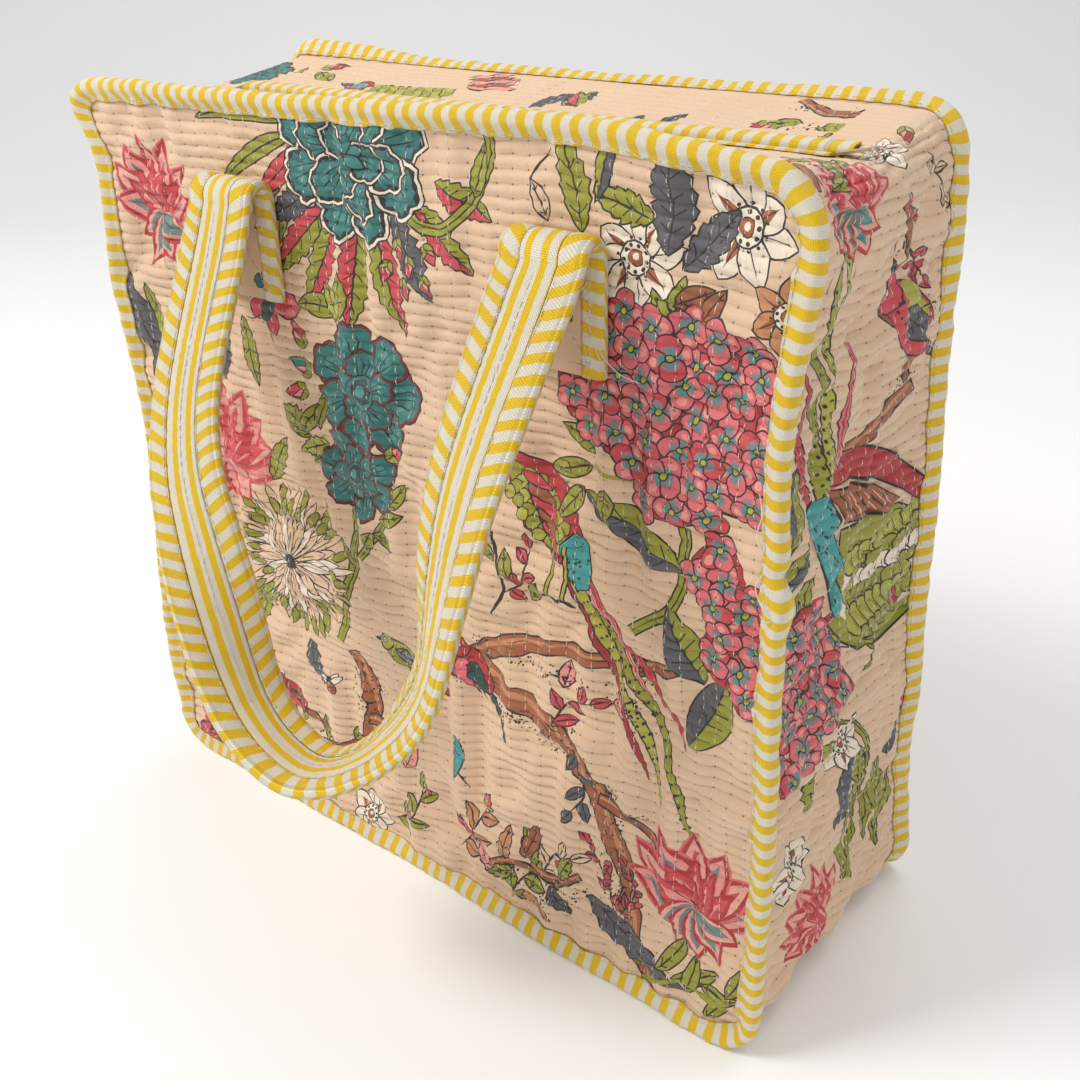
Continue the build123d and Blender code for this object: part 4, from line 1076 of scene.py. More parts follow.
def sampler(grid, u0, u1, v0, v1):
    nu, nv = grid.shape

    def f(u, v):
        a = np.clip((np.asarray(u, float) - u0) / (u1 - u0) * (nu - 1), 0, nu - 1.0001)
        b = np.clip((np.asarray(v, float) - v0) / (v1 - v0) * (nv - 1), 0, nv - 1.0001)
        i, j = np.floor(a).astype(int), np.floor(b).astype(int)
        fa, fb = a - i, b - j
        fa, fb = fa * fa * (3 - 2 * fa), fb * fb * (3 - 2 * fb)
        return (grid[i, j] * (1 - fa) + grid[i + 1, j] * fa) * (1 - fb) + (grid[i, j + 1] * (1 - fa) + grid[i + 1, j + 1] * fa) * fb
    return f


SAG = {
    "front": sampler(drape("tmp_front", 36, 36, 2 * HW, Z1 - Z0, 1.0, 3), -HW, HW, Z0, Z1),
    "back": sampler(drape("tmp_back", 36, 36, 2 * HW, Z1 - Z0, 1.5, 8), -HW, HW, Z0, Z1),
    "right": sampler(drape("tmp_right", 16, 36, 2 * GY, Z1 - Z0, 4.0, 12, 0.010), -GY, GY, Z0, Z1),
    "left": sampler(drape("tmp_left", 16, 36, 2 * GY, Z1 - Z0, 4.5, 21, 0.010), -GY, GY, Z0, Z1),
}

PU, PV = 7.8, 5.2           # stitch line spacing and pucker pitch


def pucker(a, b, seed, amp=1.15):
    """Depth of the quilting below the crests, in mm: b runs across the puckers, a along them. Returns (depth, phase)."""
    ph = b / PV + 0.26 * noise(a / 45, b / 80, seed) + 0.12 * noise(a / 11, b / 26, seed + 3) + 0.08 * noise(a / 4.2, b / 9, seed + 7)
    f = ph - np.floor(ph)
    dep = (np.abs(2 * f - 1)) ** 2.6
    k = 1 + 0.35 * noise(a / 20, b / 16, seed + 11) + 0.18 * noise(a / 6, b / 5, seed + 13)
    st = a / PU
    g = np.abs(st - np.round(st)) * PU
    dim = np.exp(-(g / 0.9) ** 2)
    return amp * np.clip(k, 0.3, 1.6) * (dep * (1 + 0.25 * dim) + 0.16 * dim * (1 - dep)), ph


def edge_fade(x, z):
    d = np.minimum.reduce([HW - np.abs(x), z - Z0, Z1 - z])
    return smoothstep(3.0, 9.0, d)


PATCH_X = [(cad("front_handle_end_straps")[0][0] + 20), (cad("front_handle_end_straps")[1][0] - 20)]


def patch_mask(x, z):
    m = np.zeros_like(np.asarray(x, float))
    for c in PATCH_X:
        dx = np.maximum(np.abs(x - c) - 21, 0); dz = np.maximum(np.abs(z - 330) - 26, 0)
        m = np.maximum(m, 1 - smoothstep(0, 48, np.hypot(dx, dz)))
    return m


def panel_point(x, z, side, depth=0.0, quilt=True, seed=5):
    """A point of the front (side -1) or back (+1) panel, depth mm below its outer face."""
    x = np.asarray(x, float); z = np.asarray(z, float)
    key = "front" if side < 0 else "back"
    sag = SAG[key](x, z) * (1 - patch_mask(x, z))
    d = np.zeros_like(x)
    if quilt:
        d = pucker(x, z, seed)[0] * edge_fade(x, z)
    p = np.stack([x, side * (PY - depth - d - sag + 0 * x), z], 1)
    q = field(np.stack([x, 0 * x + side * 72.0, z], 1))
    q[:, 1] += p[:, 1] - side * 72.0
    return q


def band_depth(s, y):
    """How far the gusset lies inside the flat pattern."""
    x, z, nx, nz = perim(s)
    prof = 1 - (np.abs(y) / GY) ** 2
    d = np.zeros_like(x)
    r = nx > 0.5; l = nx < -0.5
    d = d + np.where(nx > 0, nx, 0) * SAG["right"](y, z)
    d = d + np.where(nx < 0, -nx, 0) * SAG["left"](y, z)
    # a soft crease low on the right side
    d = d + np.where(nx > 0, nx, 0) * 2.2 * np.exp(-(((z - 120 - 0.35 * y) / 14) ** 2)) * prof
    d = d + np.where(nz < 0, -nz, 0) * (1.6 + 1.0 * noise(x / 50, y / 40, 9)) * prof
    d = d + np.where(nz > 0, nz, 0) * (10.0 * (1 - np.abs(y) / GY) - 0.0)
    return d


def band_point(s, y, depth=0.0, quilt=True, seed=15):
    s = np.asarray(s, float); y = np.asarray(y, float)
    x, z, nx, nz = perim(s)
    d = depth + band_depth(s, y)
    if quilt:
        topw = smoothstep(S_TOP0 - 22, S_TOP0 + 6, s) * (1 - smoothstep(S_TOP1 - 6, S_TOP1 + 22, s))
        q1 = pucker(y, s, seed)[0]; q2 = pucker(S_TOPM - s, y, seed + 2)[0]
        q = q1 * np.clip(1 - 1.6 * topw, 0, 1) + q2 * np.clip(1.6 * topw - 0.6, 0, 1)
        d = d + q * smoothstep(2.0, 8.0, GY - np.abs(y))
    p = np.stack([x, y, z], 1)
    f = field(p)
    n = np.stack([nx, 0 * nx, nz], 1)
    return f - n * d[:, None]


def flap_point(x, y, depth=0.0, quilt=True, side=-1, seed=27):
    """A point of the top, seen from above: |y| between the zip and the crease."""
    x = np.asarray(x, float); y = np.asarray(y, float)
    wv = 1.3 * noise(x / 42, y / 30, 31) * smoothstep(0, 12, CREASE - np.abs(y)) * smoothstep(9, 22, np.abs(y)) * smoothstep(160, 140, np.abs(x))
    d = depth + 10.0 * (1 - np.abs(y) / GY) - wv
    if quilt:
        d = d + pucker(x, y, 17)[0] * smoothstep(9, 15, np.abs(y)) 
    f = field(np.stack([x, y, 0 * x + Z1], 1))
    return f - np.stack([0 * d, 0 * d, d], 1)
# ------------------------------------------------------------------ materials
def mat(name):
    m = bpy.data.materials.new(name)
    m.use_nodes = True
    nt = m.node_tree
    nt.nodes.clear()
    out = nt.nodes.new("ShaderNodeOutputMaterial")
    b = nt.nodes.new("ShaderNodeBsdfPrincipled")
    nt.links.new(b.outputs[0], out.inputs[0])
    return m, nt, b


def N(nt, kind, **kw):
    n = nt.nodes.new(kind)
    for k, v in kw.items():
        if k.startswith("i_"):
            key = k[2:]
            n.inputs[int(key) if key.isdigit() else key].default_value = v
        else:
            setattr(n, k, v)
    return n


def math_(nt, op, a, b=None, c=None):
    n = nt.nodes.new("ShaderNodeMath"); n.operation = op
    for i, v in enumerate((a, b, c)):
        if v is None:
            continue
        if isinstance(v, (int, float)):
            n.inputs[i].default_value = v
        else:
            nt.links.new(v, n.inputs[i])
    return n.outputs[0]


def mixc(nt, f, a, b, blend="MIX"):
    n = nt.nodes.new("ShaderNodeMix"); n.data_type = "RGBA"; n.blend_type = blend
    for i, v in ((0, f), (6, a), (7, b)):
        if isinstance(v, (int, float)):
            n.inputs[i].default_value = v
        elif isinstance(v, tuple):
            n.inputs[i].default_value = v
        else:
            nt.links.new(v, n.inputs[i])
    return n.outputs[2]


def uvxy(nt, layer):
    u = N(nt, "ShaderNodeUVMap", uv_map=layer)
    s = nt.nodes.new("ShaderNodeSeparateXYZ")
    nt.links.new(u.outputs[0], s.inputs[0])
    return u.outputs[0], s.outputs[0], s.outputs[1]


def weave(nt, u, v, pitch, vary=None):
    """Plain weave height in 0..1 for coordinates in mm."""
    a = math_(nt, "SINE", math_(nt, "MULTIPLY", u, math.pi / pitch))
    b = math_(nt, "SINE", math_(nt, "MULTIPLY", v, math.pi / pitch))
    a2, b2 = math_(nt, "ABSOLUTE", a), math_(nt, "ABSOLUTE", b)
    cu = math_(nt, "FLOOR", math_(nt, "MULTIPLY", u, 1 / pitch)); cv = math_(nt, "FLOOR", math_(nt, "MULTIPLY", v, 1 / pitch))
    par = math_(nt, "FLOORED_MODULO", math_(nt, "ADD", cu, cv), 2.0)
    return math_(nt, "ADD", math_(nt, "MULTIPLY", a2, par), math_(nt, "MULTIPLY", b2, math_(nt, "SUBTRACT", 1.0, par)))


def bump(nt, b, h, dist=0.0002, strength=0.5):
    n = N(nt, "ShaderNodeBump")
    n.inputs["Strength"].default_value = strength; n.inputs["Distance"].default_value = dist
    nt.links.new(h, n.inputs["Height"]); nt.links.new(n.outputs[0], b.inputs["Normal"])
    return n


def noise_tex(nt, vec, scale, detail=2.0, rough=0.5):
    n = N(nt, "ShaderNodeTexNoise")
    n.inputs["Scale"].default_value = scale; n.inputs["Detail"].default_value = detail; n.inputs["Roughness"].default_value = rough
    if vec is not None:
        nt.links.new(vec, n.inputs["Vector"])
    return n.outputs[0]


def ramp(nt, f, stops):
    n = nt.nodes.new("ShaderNodeValToRGB")
    e = n.color_ramp.elements
    while len(e) < len(stops):
        e.new(0.5)
    for el, (p, c) in zip(e, stops):
        el.position = p; el.color = c
    nt.links.new(f, n.inputs[0])
    return n.outputs[0]


def printed_cotton():
    m, nt, b = mat("printed_cotton")
    col = N(nt, "ShaderNodeVertexColor", layer_name="Col").outputs[0]
    uv, u, v = uvxy(nt, "mm")
    _, su, sv = uvxy(nt, "quilt")
    n1 = noise_tex(nt, uv, 0.035, 3.0)
    c = mixc(nt, math_(nt, "MULTIPLY", n1, 0.22), col, (0.80, 0.62, 0.46, 1), "MULTIPLY")
    # colour runs a little thin along the threads
    n2 = noise_tex(nt, uv, 1.1, 2.0)
    c = mixc(nt, math_(nt, "MULTIPLY", n2, 0.05), c, (0.80, 0.66, 0.52, 1))
    # painted shade: the valleys of the puckers are darkened in the colour, and the needle holes are painted as dark
    # points of shade
    fv = math_(nt, "SUBTRACT", sv, math_(nt, "FLOOR", sv))
    vd = math_(nt, "ABSOLUTE", math_(nt, "SUBTRACT", fv, 0.5))
    # painted shade in the pucker valleys, strongest at the bottom of each valley
    val = math_(nt, "MULTIPLY", math_(nt, "GREATER_THAN", vd, 0.40), math_(nt, "MULTIPLY", math_(nt, "SUBTRACT", vd, 0.40), 2.6))
    c = mixc(nt, val, c, (0.62, 0.46, 0.34, 1), "MULTIPLY")
    fu = math_(nt, "ABSOLUTE", math_(nt, "SUBTRACT", su, math_(nt, "ROUND", su)))
    du = math_(nt, "MULTIPLY", fu, PU); dv = math_(nt, "MULTIPLY", math_(nt, "SUBTRACT", 0.5, vd), PV)
    rr = math_(nt, "SQRT", math_(nt, "ADD", math_(nt, "POWER", du, 2.0), math_(nt, "POWER", dv, 2.0)))
    # painted shade in the needle holes: small dark discs where the stitch lines cross the valleys
    hole = math_(nt, "MULTIPLY", math_(nt, "LESS_THAN", rr, 0.42), 0.75)
    c = mixc(nt, hole, c, (0.13, 0.085, 0.06, 1))
    nt.links.new(c, b.inputs["Base Color"])
    b.inputs["Roughness"].default_value = 0.56
    b.inputs["Sheen Weight"].default_value = 0.12; b.inputs["Sheen Roughness"].default_value = 0.5
    w = weave(nt, u, v, 0.36)
    h = math_(nt, "ADD", math_(nt, "MULTIPLY", w, 0.5), math_(nt, "MULTIPLY", noise_tex(nt, uv, 0.5, 2.0), 0.9))
    bump(nt, b, h, 0.00018, 0.42)
    return m


def plain_cotton(name, c0, c1, pitch=0.45, rough=0.78, quilted=False, sheen=0.15):
    m, nt, b = mat(name)
    uv, u, v = uvxy(nt, "mm")
    n1 = noise_tex(nt, uv, 0.06, 3.0)
    c = mixc(nt, n1, c0, c1)
    w = weave(nt, u, v, pitch)
    # painted shade between the threads: the weave's low points are darkened in the colour
    c = mixc(nt, math_(nt, "MULTIPLY", math_(nt, "SUBTRACT", 1.0, w), 0.22), c, (c1[0] * 0.6, c1[1] * 0.58, c1[2] * 0.55, 1))
    nt.links.new(c, b.inputs["Base Color"])
    b.inputs["Roughness"].default_value = rough
    b.inputs["Sheen Weight"].default_value = sheen
    bump(nt, b, math_(nt, "ADD", w, math_(nt, "MULTIPLY", noise_tex(nt, uv, 0.6, 2.0), 0.8)), 0.0003, 0.5)
    return m


YEL, YEL2 = lin(255, 216, 0), lin(255, 204, 2)
CRE, CRE2 = lin(254, 246, 228), lin(246, 236, 212)


def striped(name, along=True, period=8.0, duty=0.5, skew=0.0, pitch=0.62, widths=None):
    """Yellow and cream yarn-dyed stripes. along: the stripes cross the strip (u is arc length); else they run with it (v is across)."""
    m, nt, b = mat(name)
    uv, u, v = uvxy(nt, "mm")
    wob = math_(nt, "MULTIPLY", math_(nt, "SUBTRACT", noise_tex(nt, uv, 0.10, 2.0), 0.5), 1.7 if along else 0.35)
    fray = math_(nt, "MULTIPLY", math_(nt, "SUBTRACT", noise_tex(nt, uv, 1.8, 1.0), 0.5), 0.55)
    if along:
        q = math_(nt, "ADD", math_(nt, "ADD", u, math_(nt, "MULTIPLY", v, skew)), math_(nt, "ADD", wob, fray))
        f = math_(nt, "FLOORED_MODULO", q, period)
        f = math_(nt, "DIVIDE", f, period)
        isy = math_(nt, "LESS_THAN", f, duty)
    else:
        q = math_(nt, "ADD", v, math_(nt, "ADD", wob, math_(nt, "MULTIPLY", fray, 0.4)))
        isy = None
        for lo, hi in widths:
            t = math_(nt, "MULTIPLY", math_(nt, "GREATER_THAN", q, lo), math_(nt, "LESS_THAN", q, hi))
            isy = t if isy is None else math_(nt, "MAXIMUM", isy, t)
    n1 = noise_tex(nt, uv, 0.12, 3.0)
    yel = mixc(nt, n1, YEL, YEL2); cre = mixc(nt, n1, CRE, CRE2)
    c = mixc(nt, isy, cre, yel)
    w = weave(nt, u, v, pitch)
    # painted shade between the threads: the weave's low points are darkened in the colour
    weave_gap_shade = math_(nt, "POWER", math_(nt, "SUBTRACT", 1.0, w), 2.0)
    c = mixc(nt, math_(nt, "MULTIPLY", weave_gap_shade, 0.26), c, mixc(nt, isy, (0.46, 0.43, 0.35, 1), (0.62, 0.36, 0.0, 1)))
    nt.links.new(c, b.inputs["Base Color"])
    b.inputs["Roughness"].default_value = 0.72
    b.inputs["Sheen Weight"].default_value = 0.12
    h = math_(nt, "ADD", w, math_(nt, "MULTIPLY", noise_tex(nt, uv, 0.45, 2.0), 1.1))
    bump(nt, b, h, 0.0006, 0.75)
    return m


def solid(name, c, rough=0.5, metal=0.0, scale=900.0, amt=0.12, bmp=0.00005, aniso=None):
    m, nt, b = mat(name)
    tc = nt.nodes.new("ShaderNodeTexCoord")
    n = noise_tex(nt, tc.outputs["Object"], scale, 3.0)
    k = (c[0] * (1 - 3 * amt), c[1] * (1 - 3 * amt), c[2] * (1 - 3 * amt), 1)
    nt.links.new(mixc(nt, n, c, k), b.inputs["Base Color"])
    nt.links.new(math_(nt, "ADD", math_(nt, "MULTIPLY", n, 0.22), rough - 0.08), b.inputs["Roughness"])
    b.inputs["Metallic"].default_value = metal
    if bmp:
        bump(nt, b, noise_tex(nt, tc.outputs["Object"], scale * 1.7, 2.0), bmp, 0.4)
    return m


def sprigged_cotton():
    """The same cloth on the straps: small scattered flowers."""
    m, nt, b = mat("printed_cotton_strap")
    uv, u, v = uvxy(nt, "mm")
    vo = N(nt, "ShaderNodeTexVoronoi", feature="F1"); vo.inputs["Scale"].default_value = 1 / 15.0
    nt.links.new(uv, vo.inputs["Vector"])
    d = math_(nt, "MULTIPLY", vo.outputs["Distance"], 15.0)
    rag = math_(nt, "MULTIPLY", noise_tex(nt, uv, 0.45, 2.0), 3.2)
    d2 = math_(nt, "ADD", d, rag)
    pick = ramp(nt, vo.outputs["Color"], [(0.0, C["red"]), (0.30, C["red"]), (0.42, C["teal"]), (0.58, C["pink"]), (0.75, C["olive"])])
    edge = math_(nt, "LESS_THAN", d2, 5.3); body = math_(nt, "LESS_THAN", d2, 4.6); eye = math_(nt, "LESS_THAN", d2, 2.4)
    c = mixc(nt, edge, C["ground"], C["black"])
    c = mixc(nt, body, c, pick)
    c = mixc(nt, eye, c, C["olivelt"])
    nt.links.new(c, b.inputs["Base Color"])
    b.inputs["Roughness"].default_value = 0.6
    bump(nt, b, math_(nt, "ADD", weave(nt, u, v, 0.36), noise_tex(nt, uv, 0.4, 2.0)), 0.0003, 0.5)
    return m


M_PRINT = printed_cotton()
M_SPRIG = sprigged_cotton()
M_LINING = plain_cotton("lining_cotton", lin(232, 218, 190), lin(214, 196, 164))
M_BIND = striped("striped_binding", period=8.1, duty=0.5, skew=0.05)
M_EDGE = striped("striped_edge", period=8.6, duty=0.5, skew=0.0)
M_FACE = striped("striped_facing", along=False, widths=((-4.7, -1.5), (3.2, 6.3), (-9.5, -8.2)))
M_THREAD = plain_cotton("thread", lin(250, 244, 230), lin(236, 226, 206), 0.3, 0.6)
M_YTHREAD = plain_cotton("thread_yellow", lin(244, 200, 40), lin(226, 176, 30), 0.3, 0.6)
M_TAPE = plain_cotton("zip_tape", lin(226, 206, 168), lin(206, 184, 146), 0.5)
M_COIL = solid("zip_coil", lin(214, 190, 150), 0.38, 0.0, 600.0)
M_METAL = solid("slider_metal", lin(206, 196, 176), 0.30, 1.0, 500.0, 0.06)
# ------------------------------------------------------------------ piece helpers
def fix_out(ob):
    me = ob.data
    n = len(me.vertices)
    co = np.zeros(n * 3); me.vertices.foreach_get("co", co); co = co.reshape(-1, 3)
    me.calc_loop_triangles()
    t = np.zeros(len(me.loop_triangles) * 3, np.int32); me.loop_triangles.foreach_get("vertices", t); t = t.reshape(-1, 3)
    a, b, c = co[t[:, 0]], co[t[:, 1]], co[t[:, 2]]
    if np.einsum("ij,ij->i", a, np.cross(b, c)).sum() < 0:
        me.flip_normals()
    return ob


def finish_piece(ob, mats, body=None, slot=None, rep=()):
    for m in (mats if isinstance(mats, (list, tuple)) else [mats]):
        ob.data.materials.append(m)
    if body:
        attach(ob, body)
    if rep:
        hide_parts(*rep)
    return ob


def boundary_loops(tris):
    e = np.concatenate([tris[:, [0, 1]], tris[:, [1, 2]], tris[:, [2, 0]]])
    key = e[:, 0].astype(np.int64) * (1 << 32) + e[:, 1]
    rev = e[:, 1].astype(np.int64) * (1 << 32) + e[:, 0]
    be = e[~np.isin(key, rev)]
    nxt = {}
    for a, b in be:
        nxt.setdefault(int(a), []).append(int(b))
    loops = []
    while nxt:
        st = next(iter(nxt)); loop = [st]; cur = st
        while True:
            opts = nxt.get(cur)
            if not opts:
                break
            b = opts.pop()
            if not opts:
                del nxt[cur]
            if b == st:
                break
            loop.append(b); cur = b
        if len(loop) > 2:
            loops.append(loop)
    return loops


def quilt_grid(a0, a1, b0, b1, seed, cols=(0.0, 2.3, 5.5), rows=4):
    """Points on the crests and valleys of the puckers. a runs along the puckers, b across."""
    out = []
    bb = np.arange(b0 - 8, b1 + 8, 0.5)
    for i in range(int(math.floor(a0 / PU)) - 1, int(math.ceil(a1 / PU)) + 1):
        for o in cols:
            a = i * PU + o
            if a <= a0 or a >= a1:
                continue
            ph = pucker(np.full_like(bb, a), bb, seed)[1]
            k = np.arange(math.ceil(ph[0] * rows), math.floor(ph[-1] * rows)) / rows
            q = np.interp(k, ph, bb)
            q = q[(q > b0) & (q < b1)]
            out.append(np.stack([np.full_like(q, a), q], 1))
    return np.concatenate(out)


def dash_lines(a_list, b0, b1, seed, lo=0.13, hi=0.87):
    """Stitches: (n, 3, 2) points a, b: start, middle, end of each dash."""
    out = []
    bb = np.arange(b0 - 6, b1 + 6, 0.4)
    for a in a_list:
        ph = pucker(np.full_like(bb, a), bb, seed)[1]
        k = np.arange(math.ceil(ph[0]), math.floor(ph[-1]))
        s = np.interp(k + lo + 0.05 * noise(k * 1.7, a / 3, 4), ph, bb); e = np.interp(k + hi + 0.05 * noise(k * 1.3, a / 3, 6), ph, bb)
        m = (s > b0) & (e < b1)
        s, e = s[m], e[m]
        w = 0.35 * noise(s / 9, a / 5, seed + 40)
        out.append(np.stack([np.stack([a + w, s], 1), np.stack([a + w * 0.8, (s + e) / 2], 1), np.stack([a + w * 0.5, e], 1)], 1))
    return np.concatenate(out)


def dashes(name, P3, nrm, w=0.26, h=0.30, mats=None, body="bag_body", slot="thread"):
    """Thread dashes: P3 (n, k, 3) centre lines on the surface, nrm (n, k, 3) outward normals."""
    n, k, _ = P3.shape
    t = np.gradient(P3, axis=1); t /= np.linalg.norm(t, axis=2, keepdims=True) + 1e-9
    nrm = nrm / (np.linalg.norm(nrm, axis=2, keepdims=True) + 1e-9)
    s = np.cross(t, nrm)
    prof = np.array([0.25] + [1.0] * (k - 2) + [0.25])[None, :, None]
    top = P3 + nrm * h * prof
    lft = P3 + s * w - nrm * 0.06 * prof - nrm * 0.12 * (1 - prof)
    rgt = P3 - s * w - nrm * 0.06 * prof - nrm * 0.12 * (1 - prof)
    V = np.stack([lft, top, rgt], 2).reshape(-1, 3)       # n, k, 3
    base = (np.arange(n) * k * 3)[:, None]
    fs = []
    for i in range(k - 1):
        for j in range(3):
            a, b = i * 3 + j, i * 3 + (j + 1) % 3
            c, d = (i + 1) * 3 + (j + 1) % 3, (i + 1) * 3 + j
            fs += [(a, b, c), (a, c, d)]
    fs += [(2, 1, 0), ((k - 1) * 3, (k - 1) * 3 + 1, (k - 1) * 3 + 2)]
    F = (base[:, :, None] + np.array(fs)[None]).reshape(-1, 3)
    ob = new_mesh(name, V, F, smooth=True)
    L = np.cumsum(np.linalg.norm(np.diff(P3, axis=1, prepend=P3[:, :1]), axis=2), axis=1)
    uv = np.stack([np.repeat(L[:, :, None], 3, 2), np.broadcast_to(np.array([0, .3, .6]), (n, k, 3))], -1).reshape(-1, 2)
    set_uv(ob, "mm", uv)
    fix_out(ob)
    return finish_piece(ob, mats or M_THREAD, body, slot)


def quilt_piece(name, domain, items, holes, pts, outer, inner, igrid, uvq, mats, body, slot, rep=()):
    items = list(items)
    hole_idx = len(PALETTE)
    V2, T, idx = sheet(domain, items + [(ccw(h), -5) for h in holes], pts)
    # holes carry a colour below zero, so their triangles are already gone
    loops = [l for l in boundary_loops(T) if len(l) > 20]
    V = outer(V2[:, 0], V2[:, 1])
    bl = [np.array(l) for l in loops]
    lp = [V2[l] for l in bl]
    verts = np.concatenate(lp + [igrid]); faces, at = [], 0
    for l, q in zip(bl, lp):
        f = list(range(at, at + len(l))); at += len(l)
        faces.append(f if area(q) > 0 else f[::-1])
    big = int(np.argmax([abs(area(p)) for p in lp]))
    r = delaunay_2d_cdt([Vector((float(a), float(b))) for a, b in verts], [], faces, 0, 1e-5)
    I2 = np.array([(v[0], v[1]) for v in r[0]]); IT = np.array(r[2], np.int64)
    keep = np.array([bool(of) and set(of) == {big} for of in r[5]])
    IT = IT[keep]
    a, b, c = I2[IT[:, 0]], I2[IT[:, 1]], I2[IT[:, 2]]
    ar = (b[:, 0] - a[:, 0]) * (c[:, 1] - a[:, 1]) - (b[:, 1] - a[:, 1]) * (c[:, 0] - a[:, 0])
    IT[ar < 0] = IT[ar < 0][:, ::-1]
    IV = inner(I2[:, 0], I2[:, 1])
    n0 = len(V)
    nb, dup = n0 + len(IV), []
    key = {(round(x, 3), round(y, 3)): i for i, (x, y) in enumerate(I2)}
    rim = []
    for l in bl:
        ids = [key.get((round(V2[i, 0], 3), round(V2[i, 1], 3))) for i in l]
        for k in range(len(l)):
            a_, b_ = l[k], l[(k + 1) % len(l)]
            ia, ib = ids[k], ids[(k + 1) % len(l)]
            if ia is None or ib is None:
                continue
            q = nb + len(dup)
            dup += [b_, a_, n0 + ia, n0 + ib]
            rim += [(q, q + 1, q + 2), (q, q + 2, q + 3)]
    rim = np.array(rim, np.int64).reshape(-1, 3)
    dup = np.array(dup, np.int64)
    F = np.concatenate([T, IT[:, ::-1] + n0, rim])
    VV = np.concatenate([V, IV]); VV = np.concatenate([VV, VV[dup]])
    me_ob = new_mesh(name, VV, F, check=False)
    me = me_ob.data
    ng = CIDX["ground"]
    cols = np.concatenate([idx, np.full(len(IT) + len(rim), ng)])
    set_face_colors(me_ob, "Col", CARR[cols])
    mi = np.concatenate([np.zeros(len(T), np.int32), np.ones(len(IT), np.int32), np.ones(len(rim), np.int32)])
    me.polygons.foreach_set("material_index", mi)
    U2 = np.concatenate([V2, I2]); U2 = np.concatenate([U2, U2[dup]])
    set_uv(me_ob, "mm", U2)
    set_uv(me_ob, "quilt", uvq(U2))
    me.validate()
    fix_out(me_ob)
    print("PIECE", name, len(me.vertices), len(me.polygons), "loops", [len(l) for l in bl])
    return finish_piece(me_ob, mats, body, slot, rep)


def round_rect(x0, x1, z0, z1, r, step=2.6):
    out = []
    for cx, cz, a0 in ((x1 - r, z0 + r, -90), (x1 - r, z1 - r, 0), (x0 + r, z1 - r, 90), (x0 + r, z0 + r, 180)):
        for a in np.linspace(a0, a0 + 90, 10):
            out.append((cx + r * math.cos(math.radians(a)), cz + r * math.sin(math.radians(a))))
    out = np.array(out)
    res = []
    for i in range(len(out)):
        a, b = out[i], out[(i + 1) % len(out)]
        n = max(1, int(round(np.linalg.norm(b - a) / step)))
        for k in range(n):
            res.append(a + (b - a) * k / n)
    return np.array(res)


def densify(poly, step=2.6):
    poly = np.array(poly, float); res = []
    for i in range(len(poly)):
        a, b = poly[i], poly[(i + 1) % len(poly)]
        n = max(1, int(round(np.linalg.norm(b - a) / step)))
        for k in range(n):
            res.append(a + (b - a) * k / n)
    return np.array(res)


# ------------------------------------------------------------------ quilted panels
for side, key, seed, art in ((-1, "front", 5, print_front()), (1, "back", 6, print_back())):
    if side > 0:
        art = [(ccw(p * np.array([-1.0, 1.0])), c) for p, c in art]      # the back is drawn as seen from behind
    dom = round_rect(-HW, HW, Z0, Z1, CR)
    pts = quilt_grid(-HW + 1.2, HW - 1.2, Z0 + 1.2, Z1 - 1.2, seed)
    dx = np.maximum(np.abs(pts[:, 0]) - (HW - CR), 0); dz = np.maximum(np.abs(pts[:, 1] - ZM) - ((Z1 - Z0) / 2 - CR), 0)
    pts = pts[np.hypot(dx, dz) < CR - 1.0]
    gi = quilt_grid(-HW + 3, HW - 3, Z0 + 3, Z1 - 3, seed, (0.0, 3.9), 2)
    dx = np.maximum(np.abs(gi[:, 0]) - (HW - CR), 0); dz = np.maximum(np.abs(gi[:, 1] - ZM) - ((Z1 - Z0) / 2 - CR), 0)
    gi = gi[np.hypot(dx, dz) < CR - 2.0]

    def outer(a, b, side=side, seed=seed):
        return panel_point(a, b, side, 0.0, True, seed)

    def inner(a, b, side=side, seed=seed):
        d = pucker(a, b, seed)[0] * edge_fade(a, b)
        return panel_point(a, b, side, QT - 0.85 * d, False)

    def uvq(p, seed=seed):
        return np.stack([p[:, 0] / PU, pucker(p[:, 0], p[:, 1], seed)[1]], 1)
    quilt_piece(f"{key}_panel", dom, art, [], pts, outer, inner, gi, uvq, [M_PRINT, M_LINING], "bag_body", "printed_cotton",
                (f"{key}_panel_cloth", f"{key}_panel_wadding", f"{key}_panel_lining"))
    D = dash_lines(np.arange(-24, 25) * PU, Z0 + 6, Z1 - 6, seed)
    P3 = panel_point(D[:, :, 0].ravel(), D[:, :, 1].ravel(), side, -0.02, True, seed).reshape(D.shape[0], 3, 3)
    nn = np.zeros_like(P3); nn[:, :, 1] = side
    dashes(f"{key}_quilting_thread", P3, nn)

# ------------------------------------------------------------------ gusset band with the hole for the top
XE = 160.0
BY_ = GY - 0.05
dom = densify([(0.02, -BY_), (PER - 0.02, -BY_), (PER - 0.02, BY_), (0.02, BY_)])
h1 = densify([(S_TOPM - XE, -CREASE), (S_TOPM + XE, -CREASE), (S_TOPM + XE, -9.0), (S_TOPM + SLOT_X, -9.0), (S_TOPM + SLOT_X, 9.0), (S_TOPM + XE, 9.0),
              (S_TOPM + XE, CREASE), (S_TOPM - XE, CREASE), (S_TOPM - XE, 9.0), (S_TOPM - SLOT_X, 9.0), (S_TOPM - SLOT_X, -9.0), (S_TOPM - XE, -9.0)])
g = quilt_grid(-BY_ + 1.2, BY_ - 1.2, 1.2, PER - 1.2, 15)[:, ::-1]
intop = (g[:, 0] > S_TOP0 - 4) & (g[:, 0] < S_TOP1 + 4)
g = g[~intop]
gt = quilt_grid(-(CX + 4), CX + 4, -BY_ + 1.2, BY_ - 1.2, 17)
